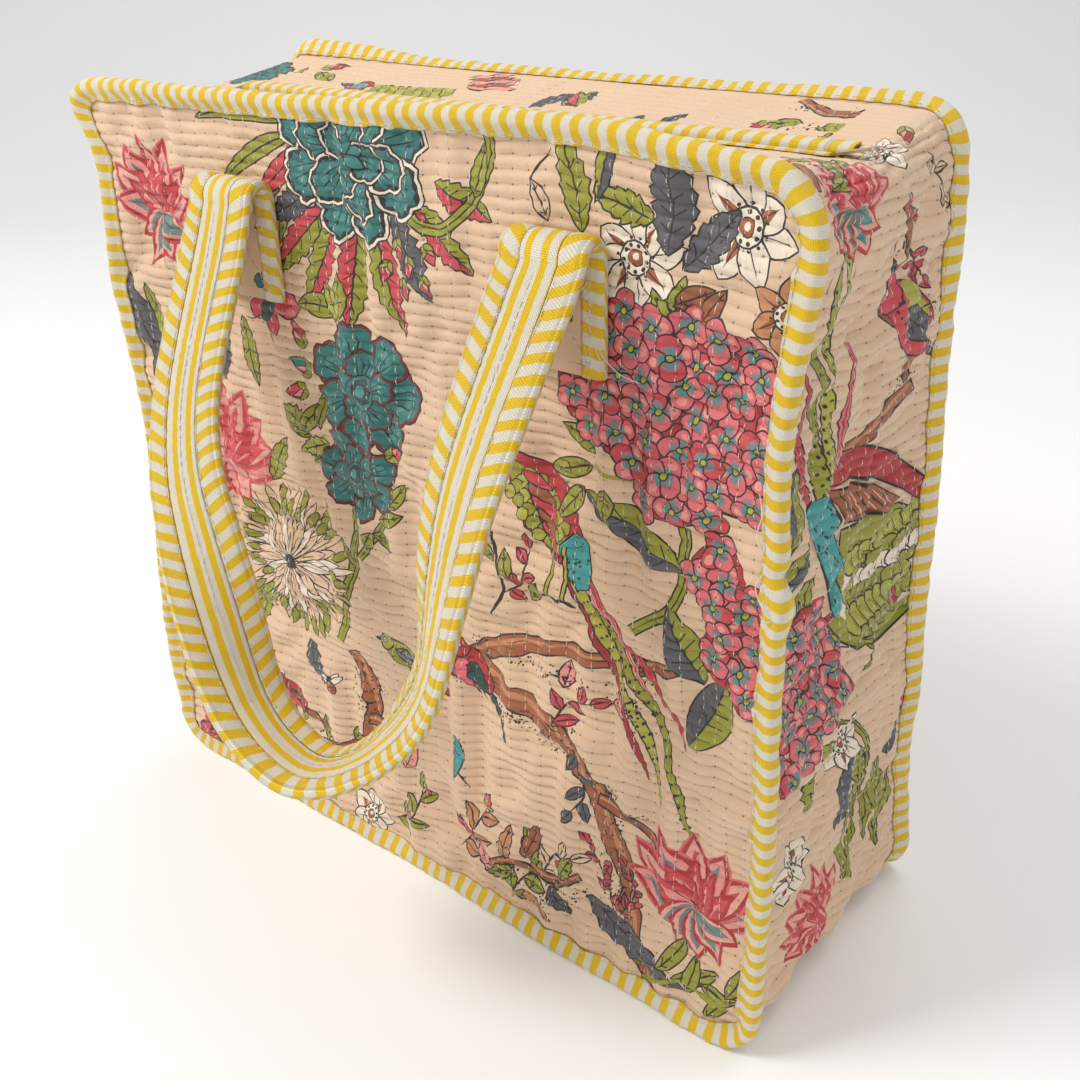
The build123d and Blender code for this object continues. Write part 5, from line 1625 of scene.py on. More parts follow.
gt = np.stack([S_TOPM - gt[:, 0], gt[:, 1]], 1)
inhole = ((np.abs(gt[:, 0] - S_TOPM) < XE + 0.8) & (np.abs(gt[:, 1]) < CREASE + 0.7)) | ((np.abs(gt[:, 0] - S_TOPM) < SLOT_X + 0.8) & (np.abs(gt[:, 1]) < 9.7))
pts = np.concatenate([g, gt[~inhole]])
gi = np.stack(np.meshgrid(np.arange(3, PER - 3, 3.1), np.linspace(-BY_ + 3, BY_ - 3, 26), indexing="ij"), -1).reshape(-1, 2)
inhole = ((np.abs(gi[:, 0] - S_TOPM) < XE + 1.5) & (np.abs(gi[:, 1]) < CREASE + 1.0)) | ((np.abs(gi[:, 0] - S_TOPM) < SLOT_X + 1.5) & (np.abs(gi[:, 1]) < 10.5))
gi = gi[~inhole]


def uvq_band(p):
    top = (p[:, 0] > S_TOP0 - 6) & (p[:, 0] < S_TOP1 + 6)
    a = np.where(top, (S_TOPM - p[:, 0]) / PU, p[:, 1] / PU)
    b = np.where(top, pucker(S_TOPM - p[:, 0], p[:, 1], 17)[1], pucker(p[:, 1], p[:, 0], 15)[1])
    return np.stack([a, b], 1)


quilt_piece("gusset", dom, print_band(PER, s_right, s_left, S_TOP0, S_TOP1, ZM), [h1], pts,
            lambda a, b: band_point(a, b, 0.0, True), lambda a, b: band_point(a, b, QT, False), gi, uvq_band, [M_PRINT, M_LINING], "bag_body", "printed_cotton",
            ("gusset_cloth", "gusset_wadding", "gusset_lining"))
D = dash_lines(np.arange(-8, 9) * PU, 6, PER - 6, 15)
D = D[(D[:, 1, 1] < S_TOP0 - 6) | (D[:, 1, 1] > S_TOP1 + 6)]
sa, ya = D[:, :, 1].ravel(), D[:, :, 0].ravel()
P3 = band_point(sa, ya, -0.02, True).reshape(-1, 3, 3)
_, _, nx, nz = perim(sa)
dashes("gusset_quilting_thread", P3, np.stack([nx, 0 * nx, nz], 1).reshape(-1, 3, 3))

# ------------------------------------------------------------------ top halves
art = print_top()
for side, key in ((-1, "front"), (1, "back")):
    for hx, hk in ((-1, "left"), (1, "right")):
        x0, x1 = (-XE, -0.0) if hx < 0 else (0.0, XE)
        y0, y1 = (-CREASE, -9.0) if side < 0 else (9.0, CREASE)
        dom = densify([(x0, y0), (x1, y0), (x1, y1), (x0, y1)])
        pts = quilt_grid(x0 + 0.9, x1 - 0.9, y0 + 0.9, y1 - 0.9, 17)
        gi = quilt_grid(x0 + 2, x1 - 2, y0 + 2, y1 - 2, 17, (0.0, 3.9), 2)
        ob = quilt_piece(f"{key}_top_{hk}", dom, art, [], pts, lambda a, b: flap_point(a, b), lambda a, b: flap_point(a, b, QT, False), gi,
                         lambda p: np.stack([p[:, 0] / PU, pucker(p[:, 0], p[:, 1], 17)[1]], 1), [M_PRINT, M_LINING], None, "printed_cotton",
                         (f"{key}_top_cloth", f"{key}_top_wadding", f"{key}_top_lining"))
        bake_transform(ob)
        D = dash_lines(np.arange(-20, 21) * PU, y0 + 3, y1 - 3, 17)
        D = D[(D[:, 1, 0] > x0 + 1) & (D[:, 1, 0] < x1 - 1)]
        P3 = flap_point(D[:, :, 0].ravel(), D[:, :, 1].ravel(), -0.02).reshape(-1, 3, 3)
        nn = np.zeros_like(P3); nn[:, :, 2] = 1
        ob = dashes(f"{key}_top_thread_{hk}", P3, nn, body=None)
        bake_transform(ob)


# ------------------------------------------------------------------ swept strips
def sweep(P, A, B, sec, closed=False, caps=True, u0=0.0, mod=None):
    """P, A, B (n,3): centre, across, up; sec (m,2) closed outline. Returns V, faces, attributes."""
    n, m = len(P), len(sec)
    S = np.broadcast_to(np.asarray(sec, float)[None], (n, m, 2))
    if mod is not None:
        S = mod(S.copy())
    V = P[:, None] + A[:, None] * S[:, :, :1] + B[:, None] * S[:, :, 1:]
    s = np.concatenate([[0], np.cumsum(np.linalg.norm(np.diff(P, axis=0), axis=1))]) + u0
    per = np.concatenate([[0], np.cumsum(np.linalg.norm(np.diff(sec, axis=0), axis=1))])
    uv = np.stack([np.repeat(s[:, None], m, 1), np.repeat(per[None], n, 0)], -1)
    F = [grid_faces(n, m, close_u=closed, close_v=True)]
    V = V.reshape(-1, 3); uv = uv.reshape(-1, 2)
    if caps and not closed:
        e0, e1 = V[:m], V[n * m - m:n * m]
        V = np.concatenate([V, e0, e1, e0.mean(0)[None], e1.mean(0)[None]])
        uv = np.concatenate([uv, uv[:m], uv[n * m - m:n * m], [[s[0], 0]], [[s[-1], 0]]])
        k = np.arange(m); k2 = (k + 1) % m
        a, b = n * m, n * m + m
        F.append(np.stack([a + k2, a + k, np.full(m, n * m + 2 * m)], 1)); F.append(np.stack([b + k, b + k2, np.full(m, n * m + 2 * m + 1)], 1))
    sc_ = np.broadcast_to(sec[None], (n, m, 2)).reshape(-1, 2)
    if len(V) > n * m:
        sc_ = np.concatenate([sc_, sec, sec, np.zeros((2, 2))])
    return V, F, {"uv": uv, "sec": sc_}


def strip_object(name, parts, mats, body, slot, rep=(), vkey=None):
    V, F, at = join_parts(parts)
    ob = new_mesh(name, V, F)
    uv = at["uv"].copy()
    if vkey == "across":
        uv[:, 1] = at["sec"][:, 0]
    if vkey == "absacross":
        uv[:, 1] = np.abs(at["sec"][:, 0]) + 2.0 * at["sec"][:, 1] * (np.abs(at["sec"][:, 0]) > 17)
        lean = 0.5 - smoothstep(0.40 * LLEN, 0.58 * LLEN, uv[:, 0])
        uv[:, 0] = uv[:, 0] + lean * 0.95 * np.abs(at["sec"][:, 0]) * np.where(at["sec"][:, 1] > -1, 1, 0.4)
    set_uv(ob, "mm", uv)
    fix_out(ob)
    return finish_piece(ob, mats, body, slot, rep)


# seam bindings
RING = spline([(-6.2, 0.16), (-6.0, 0.75), (-4.2, 1.25), (-2.2, 2.9), (0.2, 4.3), (2.6, 4.0), (4.1, 2.2), (4.5, -0.6), (3.9, -3.0), (2.4, -5.2), (1.4, -7.0), (1.0, -8.2), (0.5, -8.6),
               (0.12, -8.2), (0.12, -4.0), (0.10, -0.6), (-0.4, 0.12), (-3.0, 0.12)], n=30, closed=True)
NS = int(PER / 1.7)
S_MEND = float(s_right(232.0))


def ring_points(side, sec, s, press=0.0):
    """sec (m,2) outline (outward, out of the face) at every s; returns (n,m,3)."""
    x, z, nx, nz = perim(s)
    sd = 3 if side < 0 else 7
    lump = 1 + 0.10 * noise(s / 9.0, 0.5, sd) + 0.07 * noise(s / 3.1, 1.5, sd + 1)
    up = 0.5 * noise(s / 21.0, 4.5, sd + 2)
    if side < 0:
        b = np.exp(-((s - S_MEND) / 9.0) ** 2); lump = lump + 0.55 * b * smoothstep(11, 7, s - S_MEND) - 0.42 * np.exp(-((s - S_MEND - 14) / 4.0) ** 2)
    r = np.repeat(sec[None, :, 0], len(s), 0); d = np.repeat(sec[None, :, 1], len(s), 0)
    bulge = smoothstep(0.15, 1.6, d) + smoothstep(0.6, 2.0, r)
    bulge = np.clip(bulge, 0, 1)
    r = r + bulge * (lump[:, None] - 1) * 4.2 + bulge * up[:, None] * 0.4
    d = d + bulge * (lump[:, None] - 1) * 3.0 * np.sign(d + 2)
    # ruffled edge of the turned cloth
    fl = smoothstep(-4.2, -6.0, r)
    r = r - fl * (0.7 * noise(s / 3.4, 8.5, sd + 4) + 0.5 * noise(s / 9.0, 2.5, sd + 5))[:, None]
    d = d + smoothstep(-3.6, -5.8, r) * smoothstep(0.3, 0.8, d) * (0.25 + 0.28 * noise(s / 2.6, 6.5, sd + 6))[:, None]
    fg = smoothstep(-6.0, -8.4, d)
    d = d - fg * (0.7 * noise(s / 3.0, 3.5, sd + 7))[:, None]
    y = side * (72.0 + d)
    X = x[:, None] + nx[:, None] * r; Z = z[:, None] + nz[:, None] * r
    q = field(np.stack([X.ravel(), y.ravel(), Z.ravel()], 1)).reshape(len(s), -1, 3)
    # lie on the panel and on the gusset
    key = "front" if side < 0 else "back"
    sg = SAG[key](np.clip(X, -HW, HW), np.clip(Z, Z0, Z1)) * (1 - patch_mask(X, Z)) * smoothstep(0.5, -2.0, r)
    q[:, :, 1] -= side * sg
    bd = band_depth(np.repeat(s[:, None], X.shape[1], 1).ravel(), np.clip(y.ravel(), -GY, GY)).reshape(X.shape) * smoothstep(-1.0, -6.0, d)
    q[:, :, 0] -= nx[:, None] * bd; q[:, :, 2] -= nz[:, None] * bd
    q[:, :, 2] = np.maximum(q[:, :, 2], 0.05 + 0 * q[:, :, 2])
    return q


for side, key in ((-1, "front"), (1, "back")):
    s = np.linspace(0, PER, NS, endpoint=False)
    Q = ring_points(side, RING, s)
    n, m = Q.shape[:2]
    # one extra ring of vertices keeps the stripe's count clean where the loop closes
    Q = np.concatenate([Q, Q[:1]], 0)
    V = Q.reshape(-1, 3)
    F = grid_faces(n + 1, m, close_v=True)
    ob = new_mesh(f"{key}_seam_binding_visual", V, F)
    per = np.concatenate([[0], np.cumsum(np.linalg.norm(np.diff(RING, axis=0), axis=1))])
    P8 = round(PER / 8.1) * 8.1 / PER
    uv = np.stack([np.repeat(np.append(s, PER)[:, None] * P8, m, 1), np.repeat(per[None], n + 1, 0)], -1).reshape(-1, 2)
    set_uv(ob, "mm", uv)
    fix_out(ob)
    finish_piece(ob, M_BIND, "bag_body", "striped_binding", (f"{key}_seam_binding",))
    # the row of stitches that holds it down
    st = np.arange(2.0, PER - 3, 4.3)
    ss = np.stack([st, st + 1.5, st + 3.0], 1) + 0.3 * noise(st / 5, 2.2, 9)[:, None]
    for r_, d_, nm, nrmv in ((-4.9, 1.12, "panel", None), (1.32, -7.3, "gusset", None)):
        q = ring_points(side, np.array([[r_, d_]]), ss.ravel())[:, 0].reshape(len(st), 3, 3)
        x, z, nx, nz = perim(ss.ravel())
        if nm == "panel":
            nn = np.zeros_like(q); nn[:, :, 1] = side
        else:
            nn = np.stack([nx, 0 * nx, nz], 1).reshape(len(st), 3, 3)
        dashes(f"{key}_binding_thread_{nm}", q, nn, 0.24, 0.34, M_YTHREAD if nm == "gusset" else M_THREAD)

# ------------------------------------------------------------------ handles
LOOP = [(-83.0, -87.5, 351.5, 0), (-85.8, -92.9, 331.4, .5), (-87.2, -101.0, 311.2, 2.5), (-86.7, -110.4, 291.5, 5.5), (-84.0, -120.3, 272.3, 9.5), (-78.5, -129.5, 253.4, 15),
        (-71.0, -137.0, 234.8, 23), (-62.0, -142.2, 215.9, 33.5), (-55.0, -145.0, 195.6, 46), (-49.3, -146.2, 174.2, 60), (-42.7, -147.5, 153.2, 74.5), (-31.0, -150.0, 135.3, 86.5),
        (-13.5, -151.8, 123.2, 93.5), (7.5, -151.3, 118.8, 92), (25.9, -147.0, 125.5, 80), (41.3, -141.8, 138.4, 66), (54.3, -138.8, 154.8, 53), (65.9, -138.2, 172.7, 45.5),
        (74.8, -139.2, 191.9, 40), (80.4, -139.6, 212.9, 33), (83.6, -137.6, 234.4, 23.5), (85.9, -132.9, 255.7, 16), (87.9, -125.5, 276.4, 11), (90.1, -116.4, 296.3, 8),
        (92.5, -106.4, 315.7, 5), (94.9, -96.4, 334.2, 2.5), (97.0, -87.5, 351.5, 0)]
PATCH_Y = -75.05
PATCH_Z = float(cad("front_handle_end_straps")[0][2])


def strap_frame(P, tw, t=None):
    t = np.gradient(P, axis=0) if t is None else t
    t = t / np.linalg.norm(t, axis=1, keepdims=True)
    out = np.array([0.0, -1.0, 0.0])[None] - t * (t @ np.array([0.0, -1.0, 0.0]))[:, None]
    out /= np.linalg.norm(out, axis=1, keepdims=True)
    inw = np.cross(out, t)
    k = np.radians(tw)[:, None]
    nn = out * np.cos(k) + inw * np.sin(k)
    return np.cross(nn, t), nn


EDGE = spline([(8.7, 2.15), (8.95, 2.75), (11.5, 3.05), (15.5, 3.1), (18.6, 2.5), (20.0, 0.8), (20.0, -0.9), (18.7, -2.5), (15.5, -3.05), (12.2, -3.0), (10.6, -2.75), (10.2, -2.15),
               (13.0, -2.12), (16.8, -2.1), (17.25, -1.0), (17.25, 1.0), (16.8, 2.1), (13.0, 2.15)], n=30, closed=True)
EDGE_L = (EDGE * np.array([-1, 1]))[::-1].copy()
CORE = spline([(-16.9, -1.4), (-15.8, -2.0), (-6, -2.12), (6, -2.12), (15.8, -2.0), (16.9, -1.4), (16.9, 1.4), (15.8, 2.0), (6, 2.0), (-6, 2.0), (-15.8, 2.0), (-16.9, 1.4)], n=34, closed=True)
FACE = spline([(-8.75, 2.12), (-8.2, 2.6), (-4.2, 2.95), (0, 3.02), (4.2, 2.95), (8.2, 2.6), (8.75, 2.12), (4.2, 2.08), (0, 2.08), (-4.2, 2.08)], n=30, closed=True)


def wrinkle(P, seed, amp=0.35):
    s = np.concatenate([[0], np.cumsum(np.linalg.norm(np.diff(P, axis=0), axis=1))])

    end = smoothstep(0, 14, s) * smoothstep(0, 14, s[-1] - s)

    def f(S):
        a, b = S[:, :, 0], S[:, :, 1]
        pk = (0.5 - 0.5 * np.cos(TAU * (s / 5.4 + 0.4 * noise(s / 19, 0 * s, seed + 9))))[:, None] * np.clip(0.55 + 0.6 * noise(s / 40, 0 * s + 2, seed + 8), 0, 1)[:, None]
        S[:, :, 1] = b - 0.55 * pk * np.sign(b) * (np.abs(b) > 2.4) * end[:, None]
        b = S[:, :, 1]
        w = end[:, None] * (amp * noise(s[:, None] / 6.5, a / 7.0, seed) + amp * 0.6 * noise(s[:, None] / 2.4, a / 5.0, seed + 2))
        S[:, :, 1] = b + w * np.sign(b) * smoothstep(2.2, 2.9, np.abs(b))
        S[:, :, 0] = a + end[:, None] * amp * noise(s[:, None] / 7.0, 0 * a + 3.3, seed + 5) * smoothstep(17.5, 19.5, np.abs(a)) * np.sign(a)
        return S
    return f


L4 = spline(LOOP, step=2.4)
LP = L4[:, :3]; LA, LB = strap_frame(LP, L4[:, 3])
LS = np.concatenate([[0], np.cumsum(np.linalg.norm(np.diff(LP, axis=0), axis=1))])
LLEN = float(LS[-1])
for at, sg in ((LS, 1.0), (LLEN - LS, -1.0)):
    kk = (1 - smoothstep(2, 22, at))[:, None]
    LA = LA * (1 - kk) + np.array([[sg, 0.0, 0.0]]) * kk
    LB = LB * (1 - kk) + np.array([[0.0, -1.0, 0.0]]) * kk
LA /= np.linalg.norm(LA, axis=1, keepdims=True); LB /= np.linalg.norm(LB, axis=1, keepdims=True)


def fold_path(x, down):
    """Centre line over the fold, from the patch to the leg, and its frame."""
    r = (87.5 + PATCH_Y) / 2
    yc, zc = -(87.5 - PATCH_Y) / 2, 352.4
    a = np.linspace(0, math.pi, 17)
    P = np.stack([0 * a + x, yc + r * np.cos(a), zc + r * 1.05 * np.sin(a)], 1)
    P = np.concatenate([[(x, PATCH_Y, 351.6)], P, [(x, -87.5, 351.5)]])
    T = np.stack([0 * a, -np.sin(a), np.cos(a)], 1)
    T = np.concatenate([[(0, 0, 1)], T, [(0, 0, -1)]])
    Nn = np.stack([0 * a, np.cos(a), np.sin(a)], 1)
    Nn = np.concatenate([[(0, 1, 0)], Nn, [(0, -1, 0)]])
    return P, T, Nn


def mirror(parts, yes):
    if not yes:
        return parts
    return [(V * np.array([1, -1, 1]), F, a) for V, F, a in parts]


for side, key in ((-1, "front"), (1, "back")):
    mir = side > 0
    hb = f"{key}_handle"
    wr = wrinkle(LP, 60 + side)
    core = [sweep(LP, LA, LB, CORE)]
    edges = [sweep(LP, LA, LB, EDGE, mod=wr), sweep(LP, LA, LB, EDGE_L, mod=wr)]
    face = [sweep(LP, LA, LB, FACE, mod=wrinkle(LP, 70 + side, 0.22))]
    strip_object(f"{key}_handle_strap_visual", mirror(core, mir), M_SPRIG, hb, "printed_cotton", (f"{key}_handle_strap",), "across")
    strip_object(f"{key}_handle_edges", mirror(edges, mir), M_EDGE, hb, "striped_binding", (f"{key}_handle_edge_bindings",), "absacross")
    strip_object(f"{key}_handle_facing_visual", mirror(face, mir), M_FACE, hb, "striped_facing", (f"{key}_handle_facing",), "across")
    # stitches down the strap
    s = np.concatenate([[0], np.cumsum(np.linalg.norm(np.diff(LP, axis=0), axis=1))])
    st = np.arange(3.0, LLEN - 4, 4.1)
    q = np.stack([st, st + 1.5, st + 3.0], 1).ravel()
    ip = lambda arr: np.stack([np.interp(q, s, arr[:, k]) for k in range(3)], 1)
    Pq, Aq, Bq = ip(LP), ip(LA), ip(LB)
    rows, norms = [], []
    for a, b, sg in ((9.7, 3.02, 1), (-9.7, 3.02, 1), (0.35, 3.08, 1), (11.4, -3.05, -1), (-11.4, -3.05, -1)):
        wob = 0.25 * noise(q / 11, a, 3)
        rows.append((Pq + Aq * (a + wob)[:, None] + Bq * b).reshape(-1, 3, 3)); norms.append((Bq * sg).reshape(-1, 3, 3))
    rows, norms = np.concatenate(rows), np.concatenate(norms)
    if mir:
        rows, norms = rows * np.array([1, -1, 1]), norms * np.array([1, -1, 1])
    dashes(f"{key}_handle_thread", rows, norms, 0.24, 0.30, M_THREAD, hb)
    # folds and sewn-down ends
    for cx, nm, down, ustart in ((LOOP[0][0], "left", 1, 0.0), (LOOP[-1][0], "right", -1, LLEN)):
        FP, FT, FN = fold_path(cx, down)
        FA = np.cross(FN, FT)
        if down < 0:
            FP, FA, FN = FP[::-1], -FA[::-1], FN[::-1]
        flen = float(np.sum(np.linalg.norm(np.diff(FP, axis=0), axis=1)))
        uf = -flen if down > 0 else LLEN
        for nm2, secs, mt, sl, vk in (("strap", [CORE], M_SPRIG, "printed_cotton", "across"), ("edges", [EDGE, EDGE_L], M_EDGE, "striped_binding", "absacross"), ("facing", [FACE], M_FACE, "striped_facing", "across")):
            ob = strip_object(f"{key}_fold_{nm2}_{nm}", mirror([sweep(FP, FA, FN, sc, u0=uf) for sc in secs], mir), mt, None, sl, (), vk)
            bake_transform(ob)
        zz = np.linspace(PATCH_Z, 351.6, 18)
        PP = np.stack([0 * zz + cx, 0 * zz + PATCH_Y, zz], 1)
        PN = np.repeat([[0.0, 1.0, 0.0]], len(zz), 0)
        PA = np.repeat([[1.0, 0.0, 0.0]], len(zz), 0)
        up = uf - (351.6 - PATCH_Z)
        if down < 0:
            PP, PA = PP[::-1], -PA
            up = uf + flen
        wr2 = wrinkle(PP, 90 + side + down, 0.25)
        for nm2, secs, mt, sl, vk, rp in (("straps", [CORE], M_SPRIG, "printed_cotton", "across", f"{key}_handle_end_straps"), ("bindings", [EDGE, EDGE_L], M_EDGE, "striped_binding", "absacross", f"{key}_handle_end_bindings"),
                                          ("facings", [FACE], M_FACE, "striped_facing", "across", f"{key}_handle_end_facings")):
            strip_object(f"{key}_end_{nm2}_{nm}", mirror([sweep(PP, PA, PN, sc, u0=up, mod=(wr2 if nm2 == "bindings" else None)) for sc in secs], mir), mt, "bag_body", sl, (rp,), vk)
        # boxed cross of machine stitches through the end
        segs = []
        bx, bz0, bz1 = 14.6, PATCH_Z + 4.5, 344.6
        for p, q_ in (((-bx, bz0), (bx, bz0)), ((bx, bz0), (bx, bz1)), ((bx, bz1), (-bx, bz1)), ((-bx, bz1), (-bx, bz0)), ((-bx, bz0), (bx, bz1)), ((bx, bz0), (-bx, bz1))):
            p, q_ = np.array(p, float), np.array(q_, float)
            L_ = np.linalg.norm(q_ - p); k = int(L_ / 3.3)
            for i in range(k):
                a0_, a1_ = p + (q_ - p) * (i + 0.12) / k, p + (q_ - p) * (i + 0.88) / k
                segs.append([a0_, (a0_ + a1_) / 2, a1_])
        segs = np.array(segs)
        hgt = np.where(np.abs(segs[:, :, 0]) > 9.8, 3.16, 2.16)
        P3 = np.stack([segs[:, :, 0] + cx, PATCH_Y - hgt, segs[:, :, 1]], -1)
        nn = np.zeros_like(P3); nn[:, :, 1] = -1
        if mir:
            P3, nn = P3 * np.array([1, -1, 1]), nn * np.array([1, -1, 1])
        ob = dashes(f"{key}_anchor_thread_{nm}", P3, nn, 0.26, 0.34, M_THREAD)
        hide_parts(f"{key}_handle_anchor_stitches")


def threads(name, curves, r=0.17, mats=None):
    parts = []
    for c in curves:
        P = spline(c, step=1.2)
        t = np.gradient(P, axis=0); t /= np.linalg.norm(t, axis=1, keepdims=True) + 1e-9
        a = np.cross(t, np.array([0.31, 0.2, 0.93])); a /= np.linalg.norm(a, axis=1, keepdims=True) + 1e-9
        b = np.cross(t, a)
        th = np.linspace(0, TAU, 6, endpoint=False)
        parts.append(sweep(P, a, b, np.stack([np.cos(th), np.sin(th)], 1) * r))
    return strip_object(name, parts, mats or M_THREAD, "bag_body", "thread")


threads("loose_threads_handles", [
    [(78, -78.4, 321), (73, -79.6, 317), (68, -78.4, 312), (63, -74.5, 309)],
    [(115, -78.4, 320), (119, -79.4, 316), (124, -76.5, 310), (131, -73.8, 307)],
    [(-64, -78.4, 320), (-61, -79.4, 315), (-58, -75, 311)],
    [(114, -78.4, 319), (118, -79.2, 313), (116, -75.0, 308)]])
mx, mz, mnx, mnz = (float(v[0]) for v in perim(np.array([S_MEND])))
base = field(np.array([[mx, -72.0, mz]]))[0]
threads("loose_threads_mend", [
    [base + np.array(o) for o in ((-3, -4.6, 3), (-1, -6.0, 0.5), (2.5, -5.6, -1.5), (5.4, -1, -2))],
    [base + np.array(o) for o in ((-4, -3.9, -2), (-0.5, -6.0, -3.5), (3.5, -5.2, -0.5), (5.6, -0.5, 1.5))],
    [base + np.array(o) for o in ((-5, -2.2, 14), (-7, -2.8, 9), (-5.2, -3.6, 4), (-2, -5.6, 2))],
    [base + np.array(o) for o in ((-5.5, -1.8, 22), (-8, -2.4, 30), (-6.6, -2.2, 38), (-8.4, -1.6, 46))]], 0.2)

# ------------------------------------------------------------------ zip
ZB = spline([(14.0, 0.12), (14.1, 0.9), (11.5, 1.25), (8.6, 1.2), (6.6, 0.4), (5.7, -1.6), (5.9, -3.4), (7.0, -4.7), (9.2, -5.1), (11.6, -5.1), (14.0, -4.9), (14.0, -4.15), (11.0, -4.12), (9.15, -4.0), (8.95, -2.0), (9.15, 0.0), (11.0, 0.1)], n=26, closed=True)


def zip_binding(x0, x1, side):
    xs = np.linspace(x0, x1, max(3, int(abs(x1 - x0) / 2.0)))
    n, m = len(xs), len(ZB)
    X = np.repeat(xs[:, None], m, 1)
    Y = np.repeat(ZB[None, :, 0], n, 0) * side
    lump = 0.10 * noise(X / 6, 0 * X + 1.5, 71) * (np.abs(ZB[None, :, 1] + 2) > 1.6)
    Zz = 392.0 - 10.0 * (1 - np.clip(np.abs(Y), 9.0, 60) / GY) + ZB[None, :, 1] + lump
    Zz = np.where(np.abs(Y) > 9.0, Zz, Zz)
    V = np.stack([X, Y, Zz], -1).reshape(-1, 3)
    F = [grid_faces(n, m, close_v=True)]
    c0, c1 = V[:m].mean(0), V[-m:].mean(0)
    V = np.concatenate([V, c0[None], c1[None]])
    k = np.arange(m); k2 = (k + 1) % m
    F += [np.stack([k2, k, np.full(m, n * m)], 1), np.stack([(n - 1) * m + k, (n - 1) * m + k2, np.full(m, n * m + 1)], 1)]
    per = np.concatenate([[0], np.cumsum(np.linalg.norm(np.diff(ZB, axis=0), axis=1))])
    uv = np.stack([X, np.repeat(per[None], n, 0)], -1).reshape(-1, 2)
    return V, F, {"uv": np.concatenate([uv, [[x0, 0], [x1, 0]]]), "sec": np.zeros((len(V), 2))}


def tape_strip(x0, x1, y0, y1, z0, z1):
    xs = np.linspace(x0, x1, max(3, int(abs(x1 - x0) / 4.0)))
    sec = np.array([(y0, z0), (y1, z0), (y1, (z0 + z1) / 2), (y1 - 0.15 * np.sign(y1), z1), ((y0 + y1) / 2, z1 + 0.02), (y0 + 0.15 * np.sign(y0), z1), (y0, (z0 + z1) / 2)])
    P = np.stack([xs, 0 * xs, 0 * xs], 1); A = np.repeat([[0.0, 1.0, 0.0]], len(xs), 0); B = np.repeat([[0.0, 0.0, 1.0]], len(xs), 0)
    return sweep(P, A, B, sec, u0=x0)


def coil_teeth(x0, x1, side):
    parts = []
    th = np.linspace(0, TAU, 7, endpoint=False)
    ring = np.stack([np.cos(th) * 0.36, np.sin(th) * 0.30], 1)
    for k in range(int((x1 - x0) / 1.5)):
        x = x0 + 0.6 + k * 1.5 + (0.75 if side > 0 else 0.0)
        if x > x1 - 0.4:
            continue
        g = 0.33 if abs(x) > 153 else 0.0       # the slider's post holds the two rows apart
        c = [(x, side * (2.35 + g), 377.0), (x + 0.05, side * (1.4 + g), 377.75), (x + 0.1, side * (0.55 + g), 377.85), (x + 0.15, side * (0.42 + g), 377.25), (x + 0.2, side * (1.2 + g), 376.98), (x + 0.45, side * (2.3 + g), 376.95)]
        P = spline(c, n=8)
        t = np.gradient(P, axis=0); t /= np.linalg.norm(t, axis=1, keepdims=True)
        b = np.cross(t, np.array([1.0, 0.03, 0.02])); b /= np.linalg.norm(b, axis=1, keepdims=True)
        a = np.cross(b, t)
        parts.append(sweep(P, a, b, ring))
    return parts


T0 = ZIP_Z - 0.6
for side, key in ((-1, "front"), (1, "back")):
    for hx, hk in ((-1, "left"), (1, "right")):
        x0, x1 = (-XE, 0.0) if hx < 0 else (0.0, XE)
        for ob in (strip_object(f"{key}_zip_binding_{hk}", [zip_binding(x0, x1, side)], M_BIND, None, "striped_binding", (f"{key}_zip_binding",)),
                   strip_object(f"{key}_zip_tape_{hk}", [tape_strip(x0, x1, side * 0.75, side * 15.0, T0, ZIP_Z)], M_TAPE, None, "zip_tape", (f"{key}_zip_tape",)),
                   strip_object(f"{key}_zip_coil_{hk}", coil_teeth(x0, x1, side), M_COIL, None, "zip_coil", (f"{key}_zip_coil",))):
            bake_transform(ob)
ends = [(XE, SLOT_X - 0.1), (-SLOT_X + 0.1, -XE)]
strip_object("zip_end_bindings_visual", [zip_binding(a, b, s) for a, b in ends for s in (-1, 1)], M_BIND, "bag_body", "striped_binding", ("zip_end_bindings",))
strip_object("zip_end_tapes_visual", [tape_strip(a, b, s * 0.75, s * 15.0, T0, ZIP_Z) for a, b in ((XE, 180.0), (-180.0, -XE)) for s in (-1, 1)], M_TAPE, "bag_body", "zip_tape", ("zip_end_tapes",))
strip_object("zip_end_coils_visual", [p for a, b in ((XE, 169.0), (-169.0, -XE)) for s in (-1, 1) for p in coil_teeth(a, b, s)], M_COIL, "bag_body", "zip_coil", ("zip_end_coils",))

for nm in ("zip_slider", "zip_pull", "zip_stops"):
    ob = frame["nodes"][nm]
    ob.data.materials.clear()
    ob.data.materials.append(M_METAL)
    bv = ob.modifiers.new("edge", "BEVEL")
    bv.width = 0.0002; bv.segments = 2; bv.limit_method = "ANGLE"; bv.angle_limit = math.radians(40)

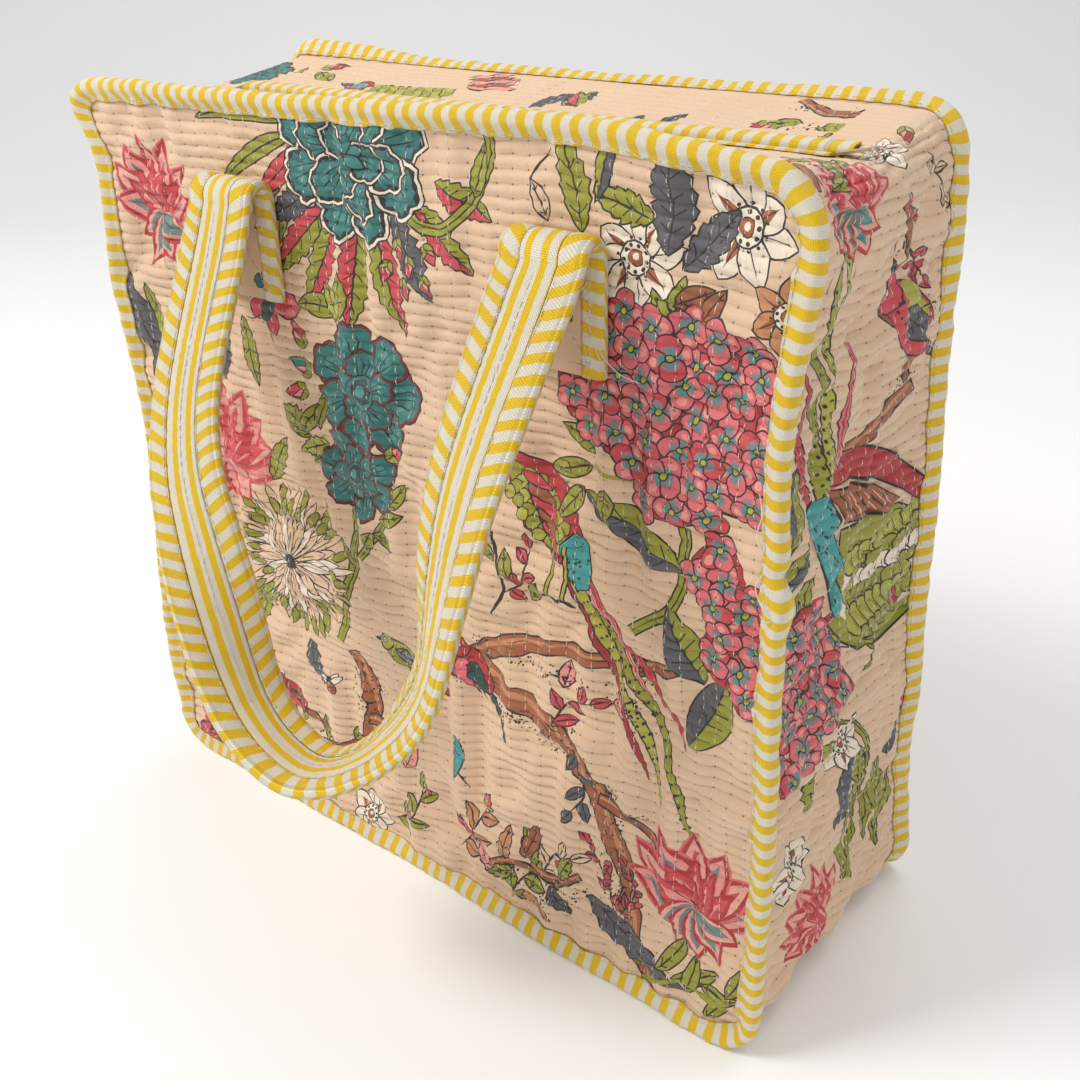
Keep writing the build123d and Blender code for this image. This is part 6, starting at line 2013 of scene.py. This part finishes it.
# ------------------------------------------------------------------ studio
def floor():
    m, nt, b = mat("studio_paper")
    tc = nt.nodes.new("ShaderNodeTexCoord")
    n = noise_tex(nt, tc.outputs["Object"], 3.0, 2.0)
    nt.links.new(mixc(nt, math_(nt, "MULTIPLY", n, 0.10), lin(252, 252, 252), lin(240, 240, 240)), b.inputs["Base Color"])
    b.inputs["Roughness"].default_value = 0.8
    prof = [(-6000, 0), (1500, 0)] + [(1500 + 1500 * math.sin(a), 1500 - 1500 * math.cos(a)) for a in np.linspace(0.1, math.pi / 2, 14)] + [(3000, 5000)]
    V = np.array([(x, y, z) for x in (-7000, 7000) for y, z in prof], float)
    k = len(prof)
    az = math.radians(38.27)
    R = np.array([[math.cos(az), -math.sin(az), 0], [math.sin(az), math.cos(az), 0], [0, 0, 1]])
    V = V @ R.T
    ob = new_mesh("studio_sweep", V, np.array([(i, k + i, k + i + 1, i + 1) for i in range(k - 1)]))
    ob.data.materials.append(m)


floor()


def area_light(name, loc, target, size, power, col=(1, 1, 1)):
    d = bpy.data.lights.new(name, "AREA")
    d.shape = "RECTANGLE"; d.size = size[0]; d.size_y = size[1]; d.energy = power; d.color = col
    o = bpy.data.objects.new(name, d)
    bpy.context.scene.collection.objects.link(o)
    o.location = loc
    o.rotation_euler = (Vector(target) - Vector(loc)).to_track_quat("-Z", "Y").to_euler()
    return o


w = bpy.data.worlds.new("studio"); bpy.context.scene.world = w
w.use_nodes = True
bg = w.node_tree.nodes.get("Background") or w.node_tree.nodes.new("ShaderNodeBackground")
bg.inputs[0].default_value = (1.0, 1.0, 1.0, 1); bg.inputs[1].default_value = 0.50
area_light("key", (-0.9, -1.0, 1.7), (0, 0, 0.2), (0.8, 0.7), 27, (1, 0.985, 0.96))
area_light("fill", (1.9, -1.1, 0.9), (0, 0, 0.2), (1.4, 1.4), 5.5, (1, 1, 1))
area_light("top", (0.3, 0.9, 2.0), (0, 0, 0.2), (1.6, 1.0), 11, (1, 1, 1))

az, el, roll = math.radians(38.27), math.radians(27.59), math.radians(-1.4)
back = Vector((math.sin(az) * math.cos(el), -math.cos(az) * math.cos(el), math.sin(el)))
right = Vector((math.cos(az), math.sin(az), 0))
up = back.cross(right)
cx = right * math.cos(roll) + up * math.sin(roll); cy = -right * math.sin(roll) + up * math.cos(roll)
cam = bpy.data.cameras.new("camera"); cam.lens = 42.0; cam.sensor_width = 36.0; cam.clip_start = 0.01; cam.clip_end = 50
co = bpy.data.objects.new("camera", cam)
bpy.context.scene.collection.objects.link(co)
M = Matrix((cx, cy, back)).transposed().to_4x4(); M.translation = Vector((0.3762, -0.4467, 0.4743))
co.matrix_world = M
bpy.context.scene.camera = co
sc = bpy.context.scene
sc.view_settings.view_transform = "Standard"
sc.view_settings.look = "None"
sc.view_settings.exposure = 0.0
sc.view_settings.gamma = 1.0
